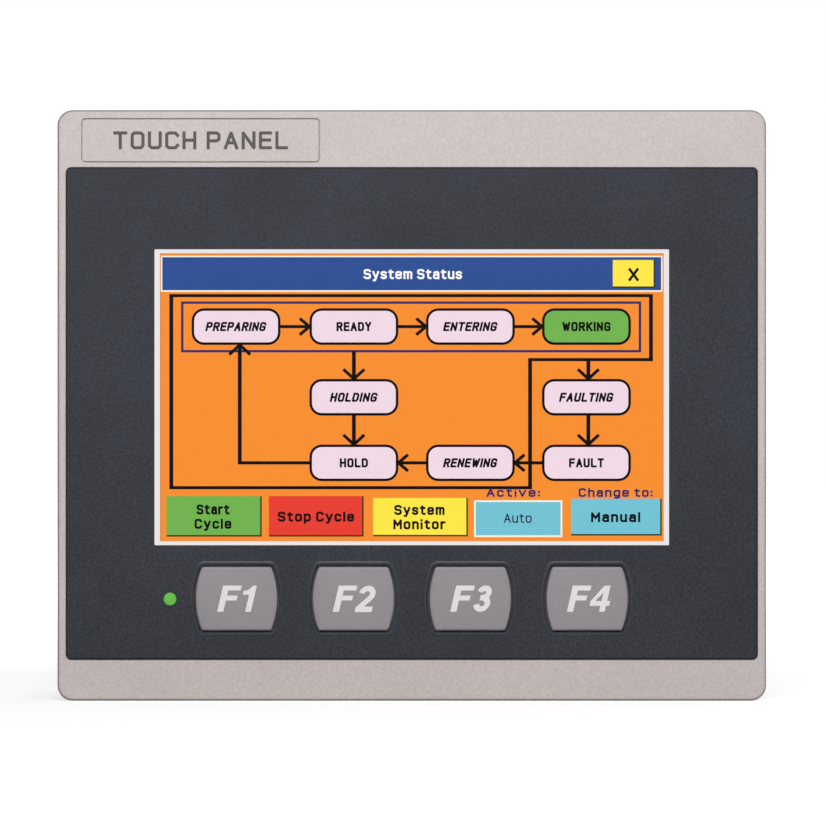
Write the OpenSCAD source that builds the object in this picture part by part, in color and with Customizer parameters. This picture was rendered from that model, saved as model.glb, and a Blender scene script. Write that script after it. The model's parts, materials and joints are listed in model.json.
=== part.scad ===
// Panel-mounted touch terminal: a wide screen, four function keys and a status light in a flat
// bezel, with a shallow housing behind it that passes through a cut-out in a cabinet door.
// Frame: +X to the right seen from the front, +Y to the rear, +Z up. The origin is the middle of
// the panel cut-out, in the plane where the gasket lies on the panel.

/* [Bezel] */
// Width of the bezel
bezel_w = 138; // [138:1:150]
// Height of the bezel
bezel_h = 115; // [115:1:128]
// How far the bezel stands in front of the panel
bezel_proud = 7; // [7:0.5:9]
// Radius of the bezel's four corners
bezel_corner_r = 3; // [2:0.5:5]
// Rounding of the bezel's front edge
bezel_edge_r = 0.6; // [0.3:0.1:1.2]

/* [Overlay and nameplate] */
// Width of the dark overlay
overlay_w = 134.2; // [130:0.2:134.4]
// Height of the dark overlay
overlay_h = 95.4; // [95:0.1:96.3]
// Height of the overlay's middle above the bezel's middle
overlay_z = -1.6; // [-2:0.1:-1]
// Radius of the overlay's corners
overlay_corner_r = 0.8; // [0.6:0.2:3]
// Depth of the overlay's face below the bezel's face
overlay_sink = 0.3; // [0.2:0.1:0.5]
// Width of the nameplate
nameplate_w = 46.4; // [30:0.2:60]
// Height of the nameplate
nameplate_h = 8.6; // [6:0.2:9]

/* [Screen] */
// Width of the touch-sensitive window
window_w = 100.3; // [90:0.1:102]
// Height of the touch-sensitive window
window_h = 57.7; // [50:0.1:59]
// Height of the window's middle above the bezel's middle
window_z = 1.6; // [0:0.1:3]
// Width of the display module
lcd_w = 105; // [103:0.5:105.5]
// Height of the display module
lcd_h = 62.4; // [60:0.2:64]

/* [Keys] */
// Distance from one key's middle to the next
key_pitch = 22.75; // [21.5:0.25:24]
// Width of a key at its middle
key_w = 15.9; // [14:0.1:16.5]
// Height of a key
key_h = 12.4; // [10:0.1:13]
// Radius of a key's bulging sides
key_side_r = 16.7; // [14:0.1:30]
// Height of the keys' middle above the bezel's middle
key_z = -37.6; // [-39:0.1:-37]
// How far a key moves when it is pressed
key_travel = 0.6; // [0.3:0.1:0.6]
// Diameter of the status light
light_d = 2.4; // [2:0.1:3]

/* [Housing] */
// Width of the panel cut-out
cutout_w = 119; // [119:0.5:120]
// Height of the panel cut-out
cutout_h = 99; // [99:0.5:100]
// Depth of the housing behind the panel
housing_depth = 36; // [34:1:60]
// Thickness of the housing's walls
wall = 2; // [1.8:0.1:2.2]

/* [Mounting levers] */
// Distance of a lever's axis from the panel plane
lever_y = 13.5; // [13.5:0.5:16]
// Distance of a lever's axis from the middle, up or down
lever_z = 26; // [25:1:28]
// Length of a lever's arm from its axis
lever_arm = 22; // [18:1:24]
// Radius of a lever's hub and cam
lever_hub_r = 7; // [6:0.5:7]
// How far the cam's centre lies off the lever's axis
lever_cam_offset = 5; // [3:0.5:5]

/* [Power connector] */
// Distance from one power terminal to the next
terminal_pitch = 5.08; // [5:0.04:5.08]
// Sideways place of the power connector
power_x = -34; // [-34:0.5:-33]

/* [Hidden] */
$fn = 64;

// Gaps: between parts that are fitted together, and around parts that move
fit_gap = 0.1;
move_gap = 0.3;

// Depths of the front parts, from the front to the rear
front_y = -bezel_proud;
overlay_y = front_y + overlay_sink;
overlay_t = 0.5;
overlay_back_y = overlay_y + overlay_t;
recess_chamfer = 0.1;
web_t = 1.5;
web_back_y = overlay_back_y + web_t;
bezel_back_y = -0.6;
pocket_w = 113;
pocket_h = 93;
pocket_r = 1;

// Room round the overlay in its recess, and how far above the recess's middle it sits
overlay_gap = 0.25;
overlay_lift = 0.1;

// Nameplate: its left edge and its middle's height
nameplate_t = 0.5;
nameplate_x = -64.3 + nameplate_w / 2;
nameplate_z = 51.6;
nameplate_gap = 0.25;
nameplate_r = 0.85;

// Touch sensor, its foam seal and the display module
touch_w = window_w + 4.3;
touch_h = window_h + 3.9;
touch_t = 1.3;
touch_back_y = overlay_back_y + touch_t;
seal_t = 0.6;
lcd_y = touch_back_y + seal_t;
lcd_t = 3.2;
lcd_back_y = lcd_y + lcd_t;
lcd_z = window_z + 0.7;
lcd_skin = 0.3;
lcd_glass_t = 1.1;
picture_w = window_w - 0.9;
picture_h = window_h - 0.7;

// Chassis plate behind the display
plate_t = 1;
plate_w = 112;
plate_top = 45.5;
plate_bottom = lcd_z - lcd_h / 2 - 0.5;
plate_back_y = lcd_back_y + plate_t;
plate_screws = [[-38, 40.5], [38, 40.5], [-54.6, -20], [54.6, -20]];
plate_notch = 9;
plate_window = [16, 12, 2];
plate_window_x = [-26, 0, 26];
plate_window_z = [-12, 14];

// Gasket in its groove, its rear face on the panel
gasket_w = 133;
gasket_h = 111;
gasket_r = 2;
gasket_band = [5.5, 4.5];
gasket_t = 2;

// Keys and the switches behind them
key_front_y = front_y - 0.4;
key_gap = move_gap;
key_corner_r = 0.6;
key_flange = 0.7;
key_flange_y = web_back_y + 0.3;
key_flange_t = 0.6;
key_skin = 1.2;
key_wall = 1.6;
pusher_w = 3;
keypad_y = -1.6;
keypad_x = [-49.2, 47.2];
keypad_z = [-46, -31.6];
keypad_notch = 6;
pcb_t = 1.6;
switch_size = 6;
switch_front_y = keypad_y - 1.9;
plunger_front_y = switch_front_y - 0.8;
plunger_r = 1.5;
plunger_l = 1.3;
plunger_back_y = plunger_front_y + plunger_l;
plunger_room = key_travel + 0.4;
keypad_screws = [-key_pitch, 0, key_pitch];

// Status light: the light pipe, its collar and the chip behind it
light_x = -47.1;
light_z = key_z - 0.1;
light_back_y = -3;
light_collar = [0.6, 0.8];
led_size = [1.6, 0.9];

// Screws inside the terminal
inner_screw_r = 0.95;
inner_head_r = 1.6;
inner_head_t = 1.2;
inner_screw_l = 4.6;
inner_hole_y = -5.2;
plate_boss_r = 1.85;
keypad_boss_r = 2.2;

// Main board, with a tab on the right for the side ports
main_y = 9;
main_back_y = main_y + pcb_t;
main_w = 96;
main_top = 42;
main_bottom = -46.2;
tab_x = 55.8;
tab_z = [-17, 13];
standoffs = [[-42, 34], [42, 34], [-42, -26], [42, -26]];

// Flexible ribbons between the boards: their places in X and the depths they run at
ribbon_t = 0.15;
display_tail_x = 8;
display_tail_w = 22;
display_socket_z = -8;
touch_tail_x = 30;
touch_tail_w = 10;
touch_socket_z = 15.5;
key_tail_x = -34;
key_tail_w = 10;
key_socket_z = -37.5;
socket_margin = 1;
socket_h = 3.5;
socket_t = 1.6;
tail_notch_w = touch_tail_w + 4;
ribbon_near_y = 1;
ribbon_far_y = main_y - 0.8;
ribbon_mid_y = (ribbon_near_y + ribbon_far_y) / 2;
ribbon_bend_r = (ribbon_far_y - ribbon_near_y) / 4;

// Chips and other parts on the main board: middle in X and Z, then width, height and thickness
processor = [[-6, 12], [17, 17, 1.5]];
memory_x = 14;
memory_z = [2, 18];
memory_size = [11, 13, 1.1];
inductor = [[-30, -22], [10.2, 10.2, 4.6]];
capacitor_x = [-36, -25];
capacitor_z = -8;
capacitor_r = 4;
capacitor_h = 9;

// Clock cell in its holder
coin_x = -32;
coin_z = 22;
coin_r = 10;
coin_t = 3.2;
holder_wall = 1.4;
holder_floor = 1;
holder_h = 4.4;

// Housing
housing_w = cutout_w - 1.6;
housing_h = cutout_h - 1.6;
housing_r = 3;
housing_edge_r = 1.5;
side_x = housing_w / 2;
floor_z = -housing_h / 2;
label_w = 64;
label_h = 36;
label_z = -8;
label_recess = 0.3;
label_t = 0.2;
vent_w = 2;
vent_pitch = 5;
top_vent_y = 22;
top_vent_l = 14;
rear_vent_z = [22, 35];
rear_vent_l = 9;

// Screws that hold the housing to the bezel, at the bottom of deep wells
corner_x = 53;
corner_z = 43;
post_r = 3.3;
post_back_y = 5.8;
post_hole_y = -3;
well_floor_y = 6;
well_seat_y = 9;
well_r = 3.1;
well_wall = 1.3;
housing_screw_r = 1.45;

// Levers: a bayonet bar behind the wall, and the angle at which it passes the slot
shaft_r = 3;
shaft_gap = 0.08;
bar_l = 10.4;
bar_w = 2.6;
bar_t = 2;
slot_angle = -35;
lever_t = 4;
lever_tip_r = 3.5;
ridge_w = 1.2;
ridge_pitch = 3;
ridge_h = 0.8;

// Connectors on the rear face of the main board, at the floor of the housing
mouth_z = floor_z + wall + 0.2;
power_body = [3 * terminal_pitch + 0.4, 11, 8.7];
power_nose = [3 * terminal_pitch, 6.2, 10.6];
power_y = 15.5;
plug_end_z = -55.5;
terminal_z = plug_end_z + 3.5;
wire_y = 14.2;
plug_back_y = 22;
header_wall = 1;
header_room = 0.6;
pin_back_z = mouth_z + 13.5;
power_pin_w = 1;
screw_head_y = 19.8;
screw_head_t = 1.4;
serial_header_x = -11.5;
serial_pitch = 3.5;
serial_pin_w = 0.8;
serial_wall = 0.8;
serial_header_size = [19.7, 7.4, 9.5];
round_x = 8.5;
round_size = [14, 13, 12.5];
round_r = 4.75;
round_core_r = 3.9;
ethernet_x = 26.5;
ethernet_size = [16, 13.4, 21];
ethernet_bore = [11.9, 8.4, 14];
ethernet_latch_w = 6.2;
contact_pitch = 1.02;
contact_w = 0.4;
usb_b_x = 42.5;
usb_b_size = [12, 10.7, 16];
usb_a_z = 5;
usb_a_size = [14, 5.7, 13.1];
card_z = -9.5;
card_size = [14.5, 1.9, 14.2];
card_mouth = 12.4;
port_gap = 0.4;
serial_y = main_back_y + serial_header_size[1] / 2;
round_y = main_back_y + round_size[1] / 2;

// ---- Shapes used by several parts ----

// A prism from depth y0 to depth y1, of a shape drawn in X and Z
module slab(y0, y1) {
    rotate([90, 0, 0]) translate([0, 0, -y1]) linear_extrude(height = y1 - y0) children();
}

// A prism from height z0 to height z1, of a shape drawn in X and Y
module column(z0, z1) {
    translate([0, 0, z0]) linear_extrude(height = z1 - z0) children();
}

// A prism from x0 to x1, of a shape drawn in Y and Z
module across(x0, x1) {
    translate([x0, 0, 0]) rotate([90, 0, 90]) linear_extrude(height = x1 - x0) children();
}

// A box given by its lowest and highest corners
module block(low, high) {
    translate(low) cube(high - low);
}

// A flat rectangle with round corners
module rrect(w, h, r) {
    square([w - 2 * r, h], center = true);
    square([w, h - 2 * r], center = true);
    for (x = [-1, 1], z = [-1, 1]) {
        translate([x * (w / 2 - r), z * (h / 2 - r)]) circle(r);
    }
}

// A round rod along Y
module rod(x, z, r, y0, y1) {
    slab(y0, y1) translate([x, z]) circle(r);
}

// Sweeps a profile around a rounded rectangle. The profile's x runs outwards from the centre of
// the corner arcs, and its y is the height.
module around(w, h, r) {
    for (side = [0:3]) {
        reach = (side % 2 == 0 ? w : h) / 2 - r;
        run = (side % 2 == 0 ? h : w) - 2 * r;
        rotate([0, 0, 90 * side]) translate([reach, run / 2, 0]) rotate([90, 0, 0])
            linear_extrude(height = run) children();
    }
    for (corner = [0:3]) {
        sx = corner == 0 || corner == 3 ? 1 : -1;
        sz = corner < 2 ? 1 : -1;
        translate([sx * (w / 2 - r), sz * (h / 2 - r), 0])
            rotate([0, 0, 90 * corner]) rotate_extrude(angle = 90) children();
    }
}

// A rounded rectangle of the given thickness, with the outer edge of its upper face rounded
module pillow(w, h, r, edge_r, t) {
    around(w, h, r) {
        square([r - edge_r, t]);
        square([r, t - edge_r]);
        translate([r - edge_r, t - edge_r]) circle(edge_r);
    }
    translate([0, 0, t / 2]) cube([w - 2 * r, h - 2 * r, t], center = true);
}

// A cut that bevels the upper edge of a recess with round corners, whose face is at height 0
module rim_chamfer(w, h, r, c) {
    around(w, h, r) polygon([[r - c, -c], [r, -c], [r + c, 0], [r + c, c], [r - c, c]]);
}

// A pan head screw along Y, with its head's seat at seat_y and its tip towards the front
module pan_screw(x, z, seat_y, head_r, head_t, shank_r, shank_l) {
    difference() {
        union() {
            rod(x, z, head_r, seat_y, seat_y + head_t);
            rod(x, z, shank_r, seat_y - shank_l, seat_y);
        }
        slab(seat_y + head_t * 0.45, seat_y + head_t + 1) translate([x, z]) {
            square([head_r * 1.3, head_r * 0.28], center = true);
            square([head_r * 0.28, head_r * 1.3], center = true);
        }
    }
}

// The outline of a key, grown or shrunk: flat top and bottom, bulging sides, round corners
module key_outline(grow) {
    half_w = key_w / 2 + grow;
    half_h = key_h / 2 + grow;
    side_r = key_side_r + grow;
    corner_r = max(key_corner_r + grow, 0.3);
    side_c = half_w - side_r;
    corner_z0 = half_h - corner_r;
    corner_c = side_c + sqrt(pow(side_r - corner_r, 2) - pow(corner_z0, 2));
    bend = atan2(corner_z0, corner_c - side_c);
    polygon(concat(
        bow([side_c, 0], side_r, -bend, bend, 12),
        bow([corner_c, corner_z0], corner_r, bend, 90, 5),
        bow([-corner_c, corner_z0], corner_r, 90, 180 - bend, 5),
        bow([-side_c, 0], side_r, 180 - bend, 180 + bend, 12),
        bow([-corner_c, -corner_z0], corner_r, 180 + bend, 270, 5),
        bow([corner_c, -corner_z0], corner_r, 270, 360 - bend, 5)));
}

// Points along an arc, without the first, so that arcs join without a doubled point
function bow(centre, r, from, to, n) =
    [for (i = [1:n]) let (a = from + (to - from) * i / n) centre + r * [cos(a), sin(a)]];

function key_x(i) = (i - 2.5) * key_pitch;

// Points along an arc, and a flat flexible strip that follows a path in Y and Z
function arc(centre, r, from, to) =
    [for (i = [0:8]) let (a = from + (to - from) * i / 8) centre + r * [cos(a), sin(a)]];
function along(path, i) =
    let (d = path[min(i + 1, len(path) - 1)] - path[max(i - 1, 0)]) d / norm(d);
function shifted(path, d) =
    [for (i = [0:len(path) - 1]) path[i] + d * [-along(path, i)[1], along(path, i)[0]]];
function reversed(list) = [for (i = [len(list) - 1:-1:0]) list[i]];

module ribbon(x, w, path) {
    across(x - w / 2, x + w / 2)
        polygon(concat(shifted(path, ribbon_t / 2), reversed(shifted(path, -ribbon_t / 2))));
}

// ---- Front ----

// Moulded bezel: front web, rim, pocket for the display, posts and bosses
module front_bezel() {
    color([0.76, 0.73, 0.72]) difference() {
        union() {
            difference() {
                translate([0, bezel_back_y, 0]) rotate([90, 0, 0])
                    pillow(bezel_w, bezel_h, bezel_corner_r, bezel_edge_r, bezel_proud + bezel_back_y);
                slab(web_back_y, 1) rrect(pocket_w, pocket_h, pocket_r);
            }
            for (x = [-corner_x, corner_x], z = [-corner_z, corner_z]) {
                rod(x, z, post_r, web_back_y - 0.2, post_back_y);
            }
            for (p = plate_screws) rod(p[0], p[1], plate_boss_r, web_back_y - 0.2, lcd_back_y);
            for (x = keypad_screws) rod(x, key_z, keypad_boss_r, web_back_y - 0.2, keypad_y);
        }
        // Recess for the overlay, and the openings behind it
        slab(front_y - 1, overlay_back_y) translate([0, overlay_z])
            rrect(overlay_w + 2 * overlay_gap, overlay_h + 2 * overlay_gap,
                  overlay_corner_r + overlay_gap);
        translate([0, front_y, overlay_z]) rotate([90, 0, 0])
            rim_chamfer(overlay_w + 2 * overlay_gap, overlay_h + 2 * overlay_gap,
                        overlay_corner_r + overlay_gap, recess_chamfer);
        slab(front_y - 1, web_back_y + 1) {
            translate([0, window_z]) rrect(touch_w + 0.6, touch_h + 0.6, 0.8);
            for (i = [1:4]) translate([key_x(i), key_z]) key_outline(key_gap);
            translate([light_x, light_z]) circle(light_d / 2 + fit_gap / 2);
        }
        // Recess for the nameplate
        slab(front_y - 1, front_y + nameplate_t) translate([nameplate_x, nameplate_z])
            rrect(nameplate_w, nameplate_h, nameplate_r);
        translate([nameplate_x, front_y, nameplate_z]) rotate([90, 0, 0])
            rim_chamfer(nameplate_w, nameplate_h, nameplate_r, recess_chamfer / 2);
        // Relief for the touch sensor's tail
        slab(web_back_y - 0.4, web_back_y + 1)
            translate([touch_tail_x - tail_notch_w / 2, window_z + touch_h / 2])
                square([tail_notch_w, 6]);
        // Groove for the gasket
        slab(-gasket_t, 1) difference() {
            rrect(gasket_w + 2 * fit_gap, gasket_h + 2 * fit_gap, gasket_r + fit_gap);
            rrect(gasket_w - 2 * gasket_band[0] - 2 * fit_gap,
                  gasket_h - 2 * gasket_band[1] - 2 * fit_gap, gasket_r);
        }
        // Screw holes
        for (x = [-corner_x, corner_x], z = [-corner_z, corner_z]) {
            rod(x, z, housing_screw_r + 0.05, post_hole_y, post_back_y + 1);
        }
        for (p = plate_screws) rod(p[0], p[1], inner_screw_r + 0.05, inner_hole_y, 1);
        for (x = keypad_screws) rod(x, key_z, inner_screw_r + 0.05, inner_hole_y, 1);
    }
}

// Thin plate let into the bezel above the screen
module nameplate() {
    color([0.77, 0.74, 0.73]) slab(front_y, front_y + nameplate_t)
        translate([nameplate_x, nameplate_z])
            rrect(nameplate_w - 2 * nameplate_gap, nameplate_h - 2 * nameplate_gap,
                  nameplate_r - nameplate_gap);
}

// Dark sheet over the bezel's web, open for the screen, the keys and the light
module front_overlay() {
    color([0.24, 0.25, 0.27]) slab(overlay_y, overlay_back_y) difference() {
        translate([0, overlay_z + overlay_lift]) rrect(overlay_w, overlay_h, overlay_corner_r);
        translate([0, window_z]) rrect(window_w, window_h, 0.3);
        for (i = [1:4]) translate([key_x(i), key_z]) key_outline(key_gap);
        translate([light_x, light_z]) circle(light_d / 2 + fit_gap / 2);
    }
}

// Touch sensor: its middle fills the overlay's window, and its border lies behind the overlay
module touch_screen() {
    color([0.85, 0.88, 0.9, 0.5]) slab(overlay_back_y, touch_back_y)
        translate([0, window_z]) rrect(touch_w, touch_h, 0.5);
}

// Foam frame between the touch sensor and the display
module touch_seal() {
    color([0.12, 0.12, 0.12]) slab(touch_back_y, lcd_y) translate([0, window_z]) difference() {
        square([touch_w - 0.6, touch_h - 1], center = true);
        square([picture_w, picture_h], center = true);
    }
}

// Folded steel cover of the display module
module lcd_frame() {
    color([0.75, 0.76, 0.78]) difference() {
        slab(lcd_y, lcd_back_y) translate([0, lcd_z]) square([lcd_w, lcd_h], center = true);
        slab(lcd_y + lcd_skin, lcd_back_y + 1) translate([0, lcd_z])
            square([lcd_w - 2 * lcd_skin, lcd_h - 2 * lcd_skin], center = true);
        slab(lcd_y - 1, lcd_y + 1) translate([0, window_z])
            square([picture_w, picture_h], center = true);
    }
}

// Liquid crystal cell
module lcd_glass() {
    color([0.5, 0.6, 0.7]) slab(lcd_y + lcd_skin, lcd_y + lcd_skin + lcd_glass_t)
        translate([0, lcd_z]) square([lcd_w - 1, lcd_h - 1], center = true);
}

// Light guide, reflector and tray behind the cell
module lcd_backlight() {
    color([0.95, 0.95, 0.92]) slab(lcd_y + lcd_skin + lcd_glass_t, lcd_back_y)
        translate([0, lcd_z]) square([lcd_w - 1, lcd_h - 1], center = true);
}

// Aluminium plate that clamps the display to the bezel and carries the main board
module chassis_plate() {
    color([0.7, 0.72, 0.74]) slab(lcd_back_y, plate_back_y) difference() {
        translate([-plate_w / 2, plate_bottom]) square([plate_w, plate_top - plate_bottom]);
        for (x = [-corner_x, corner_x]) translate([x, corner_z]) square(plate_notch, center = true);
        for (p = plate_screws) translate(p) circle(inner_screw_r + 0.25);
        translate([touch_tail_x - tail_notch_w / 2, lcd_z + 28.7]) square([tail_notch_w, plate_top]);
        for (x = plate_window_x, z = plate_window_z) {
            translate([x, z]) rrect(plate_window[0], plate_window[1], plate_window[2]);
        }
    }
}

// Small screws for the chassis plate, the key board and the main board
module inner_screws() {
    color([0.8, 0.8, 0.78]) {
        for (p = plate_screws) {
            pan_screw(p[0], p[1], plate_back_y, inner_head_r, inner_head_t,
                      inner_screw_r, inner_screw_l);
        }
        for (x = keypad_screws) {
            pan_screw(x, key_z, keypad_y + pcb_t, inner_head_r, inner_head_t,
                      inner_screw_r, inner_screw_l);
        }
        for (p = standoffs) {
            pan_screw(p[0], p[1], main_back_y, 2.2, 1.6, inner_screw_r, 6);
        }
    }
}

// Soft frame in the bezel's groove, which seals against the panel
module panel_gasket() {
    color([0.1, 0.1, 0.1]) slab(-gasket_t, 0) difference() {
        rrect(gasket_w, gasket_h, gasket_r);
        rrect(gasket_w - 2 * gasket_band[0], gasket_h - 2 * gasket_band[1], gasket_r);
    }
}

// Clear rod that carries the light from the board to the overlay
module status_light_pipe() {
    color([0.44, 0.75, 0.31]) {
        rod(light_x, light_z, light_d / 2, overlay_y, light_back_y);
        rod(light_x, light_z, light_d / 2 + light_collar[0], web_back_y,
            web_back_y + light_collar[1]);
    }
}

// ---- Keys ----

// A hollow key cap with a flange that holds it behind the web and a pusher in its middle
module key_cap(i) {
    color([0.57, 0.55, 0.57]) {
        difference() {
            union() {
                slab(key_front_y, key_flange_y) translate([key_x(i), key_z]) key_outline(0);
                slab(key_flange_y, key_flange_y + key_flange_t)
                    translate([key_x(i), key_z]) key_outline(key_flange);
            }
            slab(key_front_y + key_skin, key_flange_y + 2)
                translate([key_x(i), key_z]) key_outline(-key_wall);
        }
        slab(key_front_y + key_skin, plunger_front_y)
            translate([key_x(i), key_z]) square(pusher_w, center = true);
    }
}

// The moving button of one switch
module switch_plunger(i) {
    color([0.15, 0.15, 0.15])
        rod(key_x(i), key_z, plunger_r, plunger_front_y, plunger_back_y);
}

// Switch bodies on the key board, bored for their plungers
module tact_switches() {
    color([0.25, 0.25, 0.26]) for (i = [1:4]) {
        difference() {
            slab(switch_front_y, keypad_y) translate([key_x(i), key_z])
                rrect(switch_size, switch_size, 0.4);
            rod(key_x(i), key_z, plunger_r + fit_gap, switch_front_y - 1,
                plunger_back_y + plunger_room);
        }
    }
}

// Board behind the keys
module keypad_board() {
    color([0.1, 0.35, 0.2]) slab(keypad_y, keypad_y + pcb_t) difference() {
        translate([keypad_x[0], keypad_z[0]])
            square([keypad_x[1] - keypad_x[0], keypad_z[1] - keypad_z[0]]);
        for (x = keypad_screws) translate([x, key_z]) circle(inner_screw_r + 0.15);
        translate([-corner_x, keypad_z[0]]) square(keypad_notch);
    }
}

// Green chip behind the light pipe
module status_led() {
    color([0.9, 0.95, 0.85]) slab(keypad_y - led_size[1], keypad_y)
        translate([light_x, light_z]) square(led_size[0], center = true);
}

// ---- Flexible ribbons ----

// From one board's plane to the other's in an S, starting upwards (turn = 1) or downwards
function s_bend(z, turn) = concat(
    arc([ribbon_near_y + ribbon_bend_r, z], ribbon_bend_r, 180, 180 - 90 * turn),
    arc([ribbon_mid_y, z + turn * 2 * ribbon_bend_r], ribbon_bend_r, 270 * turn, 360 * turn));

// From the lower edge of the display around the chassis plate to the main board
module display_ribbon() {
    bottom = lcd_z - lcd_h / 2;
    y0 = lcd_back_y - 1;
    r = (ribbon_near_y - y0) / 2;
    color([0.75, 0.5, 0.2]) ribbon(display_tail_x, display_tail_w, concat(
        [[y0, bottom]],
        arc([y0 + r, bottom - 0.3], r, 180, 360),
        s_bend(-18, 1),
        [[ribbon_far_y, display_socket_z]]));
}

// From the upper edge of the touch sensor over the display to the main board
module touch_ribbon() {
    top = window_z + touch_h / 2;
    y0 = touch_back_y + ribbon_t / 2;
    r = (ribbon_near_y - y0) / 2;
    color([0.75, 0.5, 0.2]) ribbon(touch_tail_x, touch_tail_w, concat(
        [[y0, top - 0.4]],
        arc([y0 + r, top + 1.8], r, 180, 0),
        s_bend(28, -1),
        [[ribbon_far_y, touch_socket_z + socket_h]]));
}

// From the key board to the main board
module keypad_ribbon() {
    r = (ribbon_far_y - ribbon_near_y) / 2;
    color([0.75, 0.5, 0.2]) ribbon(key_tail_x, key_tail_w, concat(
        [[ribbon_near_y, key_socket_z]],
        arc([ribbon_mid_y, key_socket_z - 3], r, 180, 360),
        [[ribbon_far_y, key_socket_z]]));
}

// Sockets that the ribbons plug into
module ribbon_connectors() {
    color([0.9, 0.88, 0.82]) {
        ribbon_socket(display_tail_x, display_tail_w, display_socket_z, main_y - socket_t);
        ribbon_socket(touch_tail_x, touch_tail_w, touch_socket_z, main_y - socket_t);
        ribbon_socket(key_tail_x, key_tail_w, key_socket_z, main_y - socket_t);
        ribbon_socket(key_tail_x, key_tail_w, key_socket_z, 0);
    }
}

module ribbon_socket(x, tail_w, z, y) {
    half_w = tail_w / 2 + socket_margin;
    block([x - half_w, y, z], [x + half_w, y + socket_t, z + socket_h]);
}

// ---- Main board ----

module main_board() {
    color([0.1, 0.35, 0.2]) slab(main_y, main_back_y) difference() {
        union() {
            translate([-main_w / 2, main_bottom]) square([main_w, main_top - main_bottom]);
            translate([0, tab_z[0]]) square([tab_x, tab_z[1] - tab_z[0]]);
        }
        for (p = standoffs) translate(p) circle(inner_screw_r + 0.25);
    }
}

// Hexagonal spacers from the chassis plate to the main board
module board_standoffs() {
    color([0.8, 0.7, 0.4]) for (p = standoffs) {
        slab(plate_back_y, main_y) translate(p) difference() {
            circle(2.8, $fn = 6);
            circle(inner_screw_r + 0.05);
        }
    }
}

// A flat chip on the rear face of the main board
module chip(at, size) {
    slab(main_back_y, main_back_y + size[2]) translate(at) rrect(size[0], size[1], 0.3);
}

module processor_chip() {
    color([0.15, 0.15, 0.16]) chip(processor[0], processor[1]);
}

module memory_chips() {
    color([0.15, 0.15, 0.16]) for (z = memory_z) chip([memory_x, z], memory_size);
}

module power_inductor() {
    color([0.3, 0.3, 0.32]) chip(inductor[0], inductor[1]);
}

// Round cans that smooth the supply
module capacitors() {
    color([0.7, 0.72, 0.75]) for (x = capacitor_x) {
        rod(x, capacitor_z, capacitor_r, main_back_y, main_back_y + capacitor_h);
    }
}

// Open cup that holds the clock's cell
module battery_holder() {
    color([0.12, 0.12, 0.12]) difference() {
        rod(coin_x, coin_z, coin_r + 0.2 + holder_wall, main_back_y, main_back_y + holder_h);
        rod(coin_x, coin_z, coin_r + 0.2, main_back_y + holder_floor, main_back_y + holder_h + 1);
        block([coin_x - 4, main_back_y + holder_floor, coin_z - coin_r - 3],
              [coin_x + 4, main_back_y + holder_h + 1, coin_z]);
    }
}

module coin_battery() {
    color([0.85, 0.85, 0.86]) rod(coin_x, coin_z, coin_r, main_back_y + holder_floor,
        main_back_y + holder_floor + coin_t);
}

// ---- Power connector ----

function terminal_x(i) = power_x + (i - 2) * terminal_pitch;

// Shroud on the board that the power plug slides into
module power_header() {
    inner = (power_nose + [header_room, header_room, 0]) / 2;
    color([0.1, 0.1, 0.1]) difference() {
        block([power_x - inner[0] - header_wall, main_back_y, mouth_z],
              [power_x + inner[0] + header_wall, power_y + inner[1] + header_wall, pin_back_z]);
        block([power_x - inner[0], power_y - inner[1], mouth_z - 1],
              [power_x + inner[0], power_y + inner[1], mouth_z + power_nose[2] + 0.7]);
        header_pin_shapes();
    }
}

// The pins' shapes, as solids and as the holes they stand in
module header_pin_shapes() {
    for (i = [1:3]) column(mouth_z + 3, pin_back_z)
        translate([terminal_x(i), power_y]) square(power_pin_w, center = true);
    for (i = [-2:2]) column(mouth_z + 1.5, mouth_z + serial_header_size[2])
        translate([serial_header_x + i * serial_pitch, serial_y])
            square(serial_pin_w, center = true);
}

module header_pins() {
    color([0.85, 0.8, 0.6]) header_pin_shapes();
}

// Plug with three screw terminals: a nose inside the header and a wider grip below the housing
module power_plug() {
    half_w = power_body[0] / 2;
    nose_half = power_nose / 2;
    grip_top_z = plug_end_z + power_body[2];
    color([0.16, 0.42, 0.2]) difference() {
        union() {
            block([power_x - half_w, plug_back_y - power_body[1], plug_end_z],
                  [power_x + half_w, plug_back_y, grip_top_z]);
            block([power_x - nose_half[0], power_y - nose_half[1], grip_top_z - 0.5],
                  [power_x + nose_half[0], power_y + nose_half[1], mouth_z + power_nose[2]]);
        }
        for (i = [1:3]) {
            // Socket for the pin, wire entry, chamber of the cage, and the screw's bore
            block([terminal_x(i) - 0.8, power_y - 0.8, mouth_z + 2],
                  [terminal_x(i) + 0.8, power_y + 0.8, mouth_z + power_nose[2] + 1]);
            block([terminal_x(i) - 1.7, wire_y - 1.7, plug_end_z - 1],
                  [terminal_x(i) + 1.7, wire_y + 1.7, plug_end_z + 2]);
            block([terminal_x(i) - 2, wire_y - 2.3, plug_end_z + 1],
                  [terminal_x(i) + 2, wire_y + 3.1, plug_end_z + 6]);
            rod(terminal_x(i), terminal_z, 1.35, wire_y, plug_back_y + 1);
            rod(terminal_x(i), terminal_z, 2.1, screw_head_y - 0.2, plug_back_y + 1);
        }
    }
}

// Steel cages that clamp the wires
module terminal_cages() {
    color([0.75, 0.75, 0.72]) for (i = [1:3]) difference() {
        block([terminal_x(i) - 1.9, wire_y - 2.2, plug_end_z + 1.2],
              [terminal_x(i) + 1.9, wire_y + 3, plug_end_z + 5.8]);
        block([terminal_x(i) - 1.3, wire_y - 1.5, plug_end_z],
              [terminal_x(i) + 1.3, wire_y + 2, plug_end_z + 7]);
        rod(terminal_x(i), terminal_z, 1.3, wire_y, wire_y + 5);
    }
}

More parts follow.
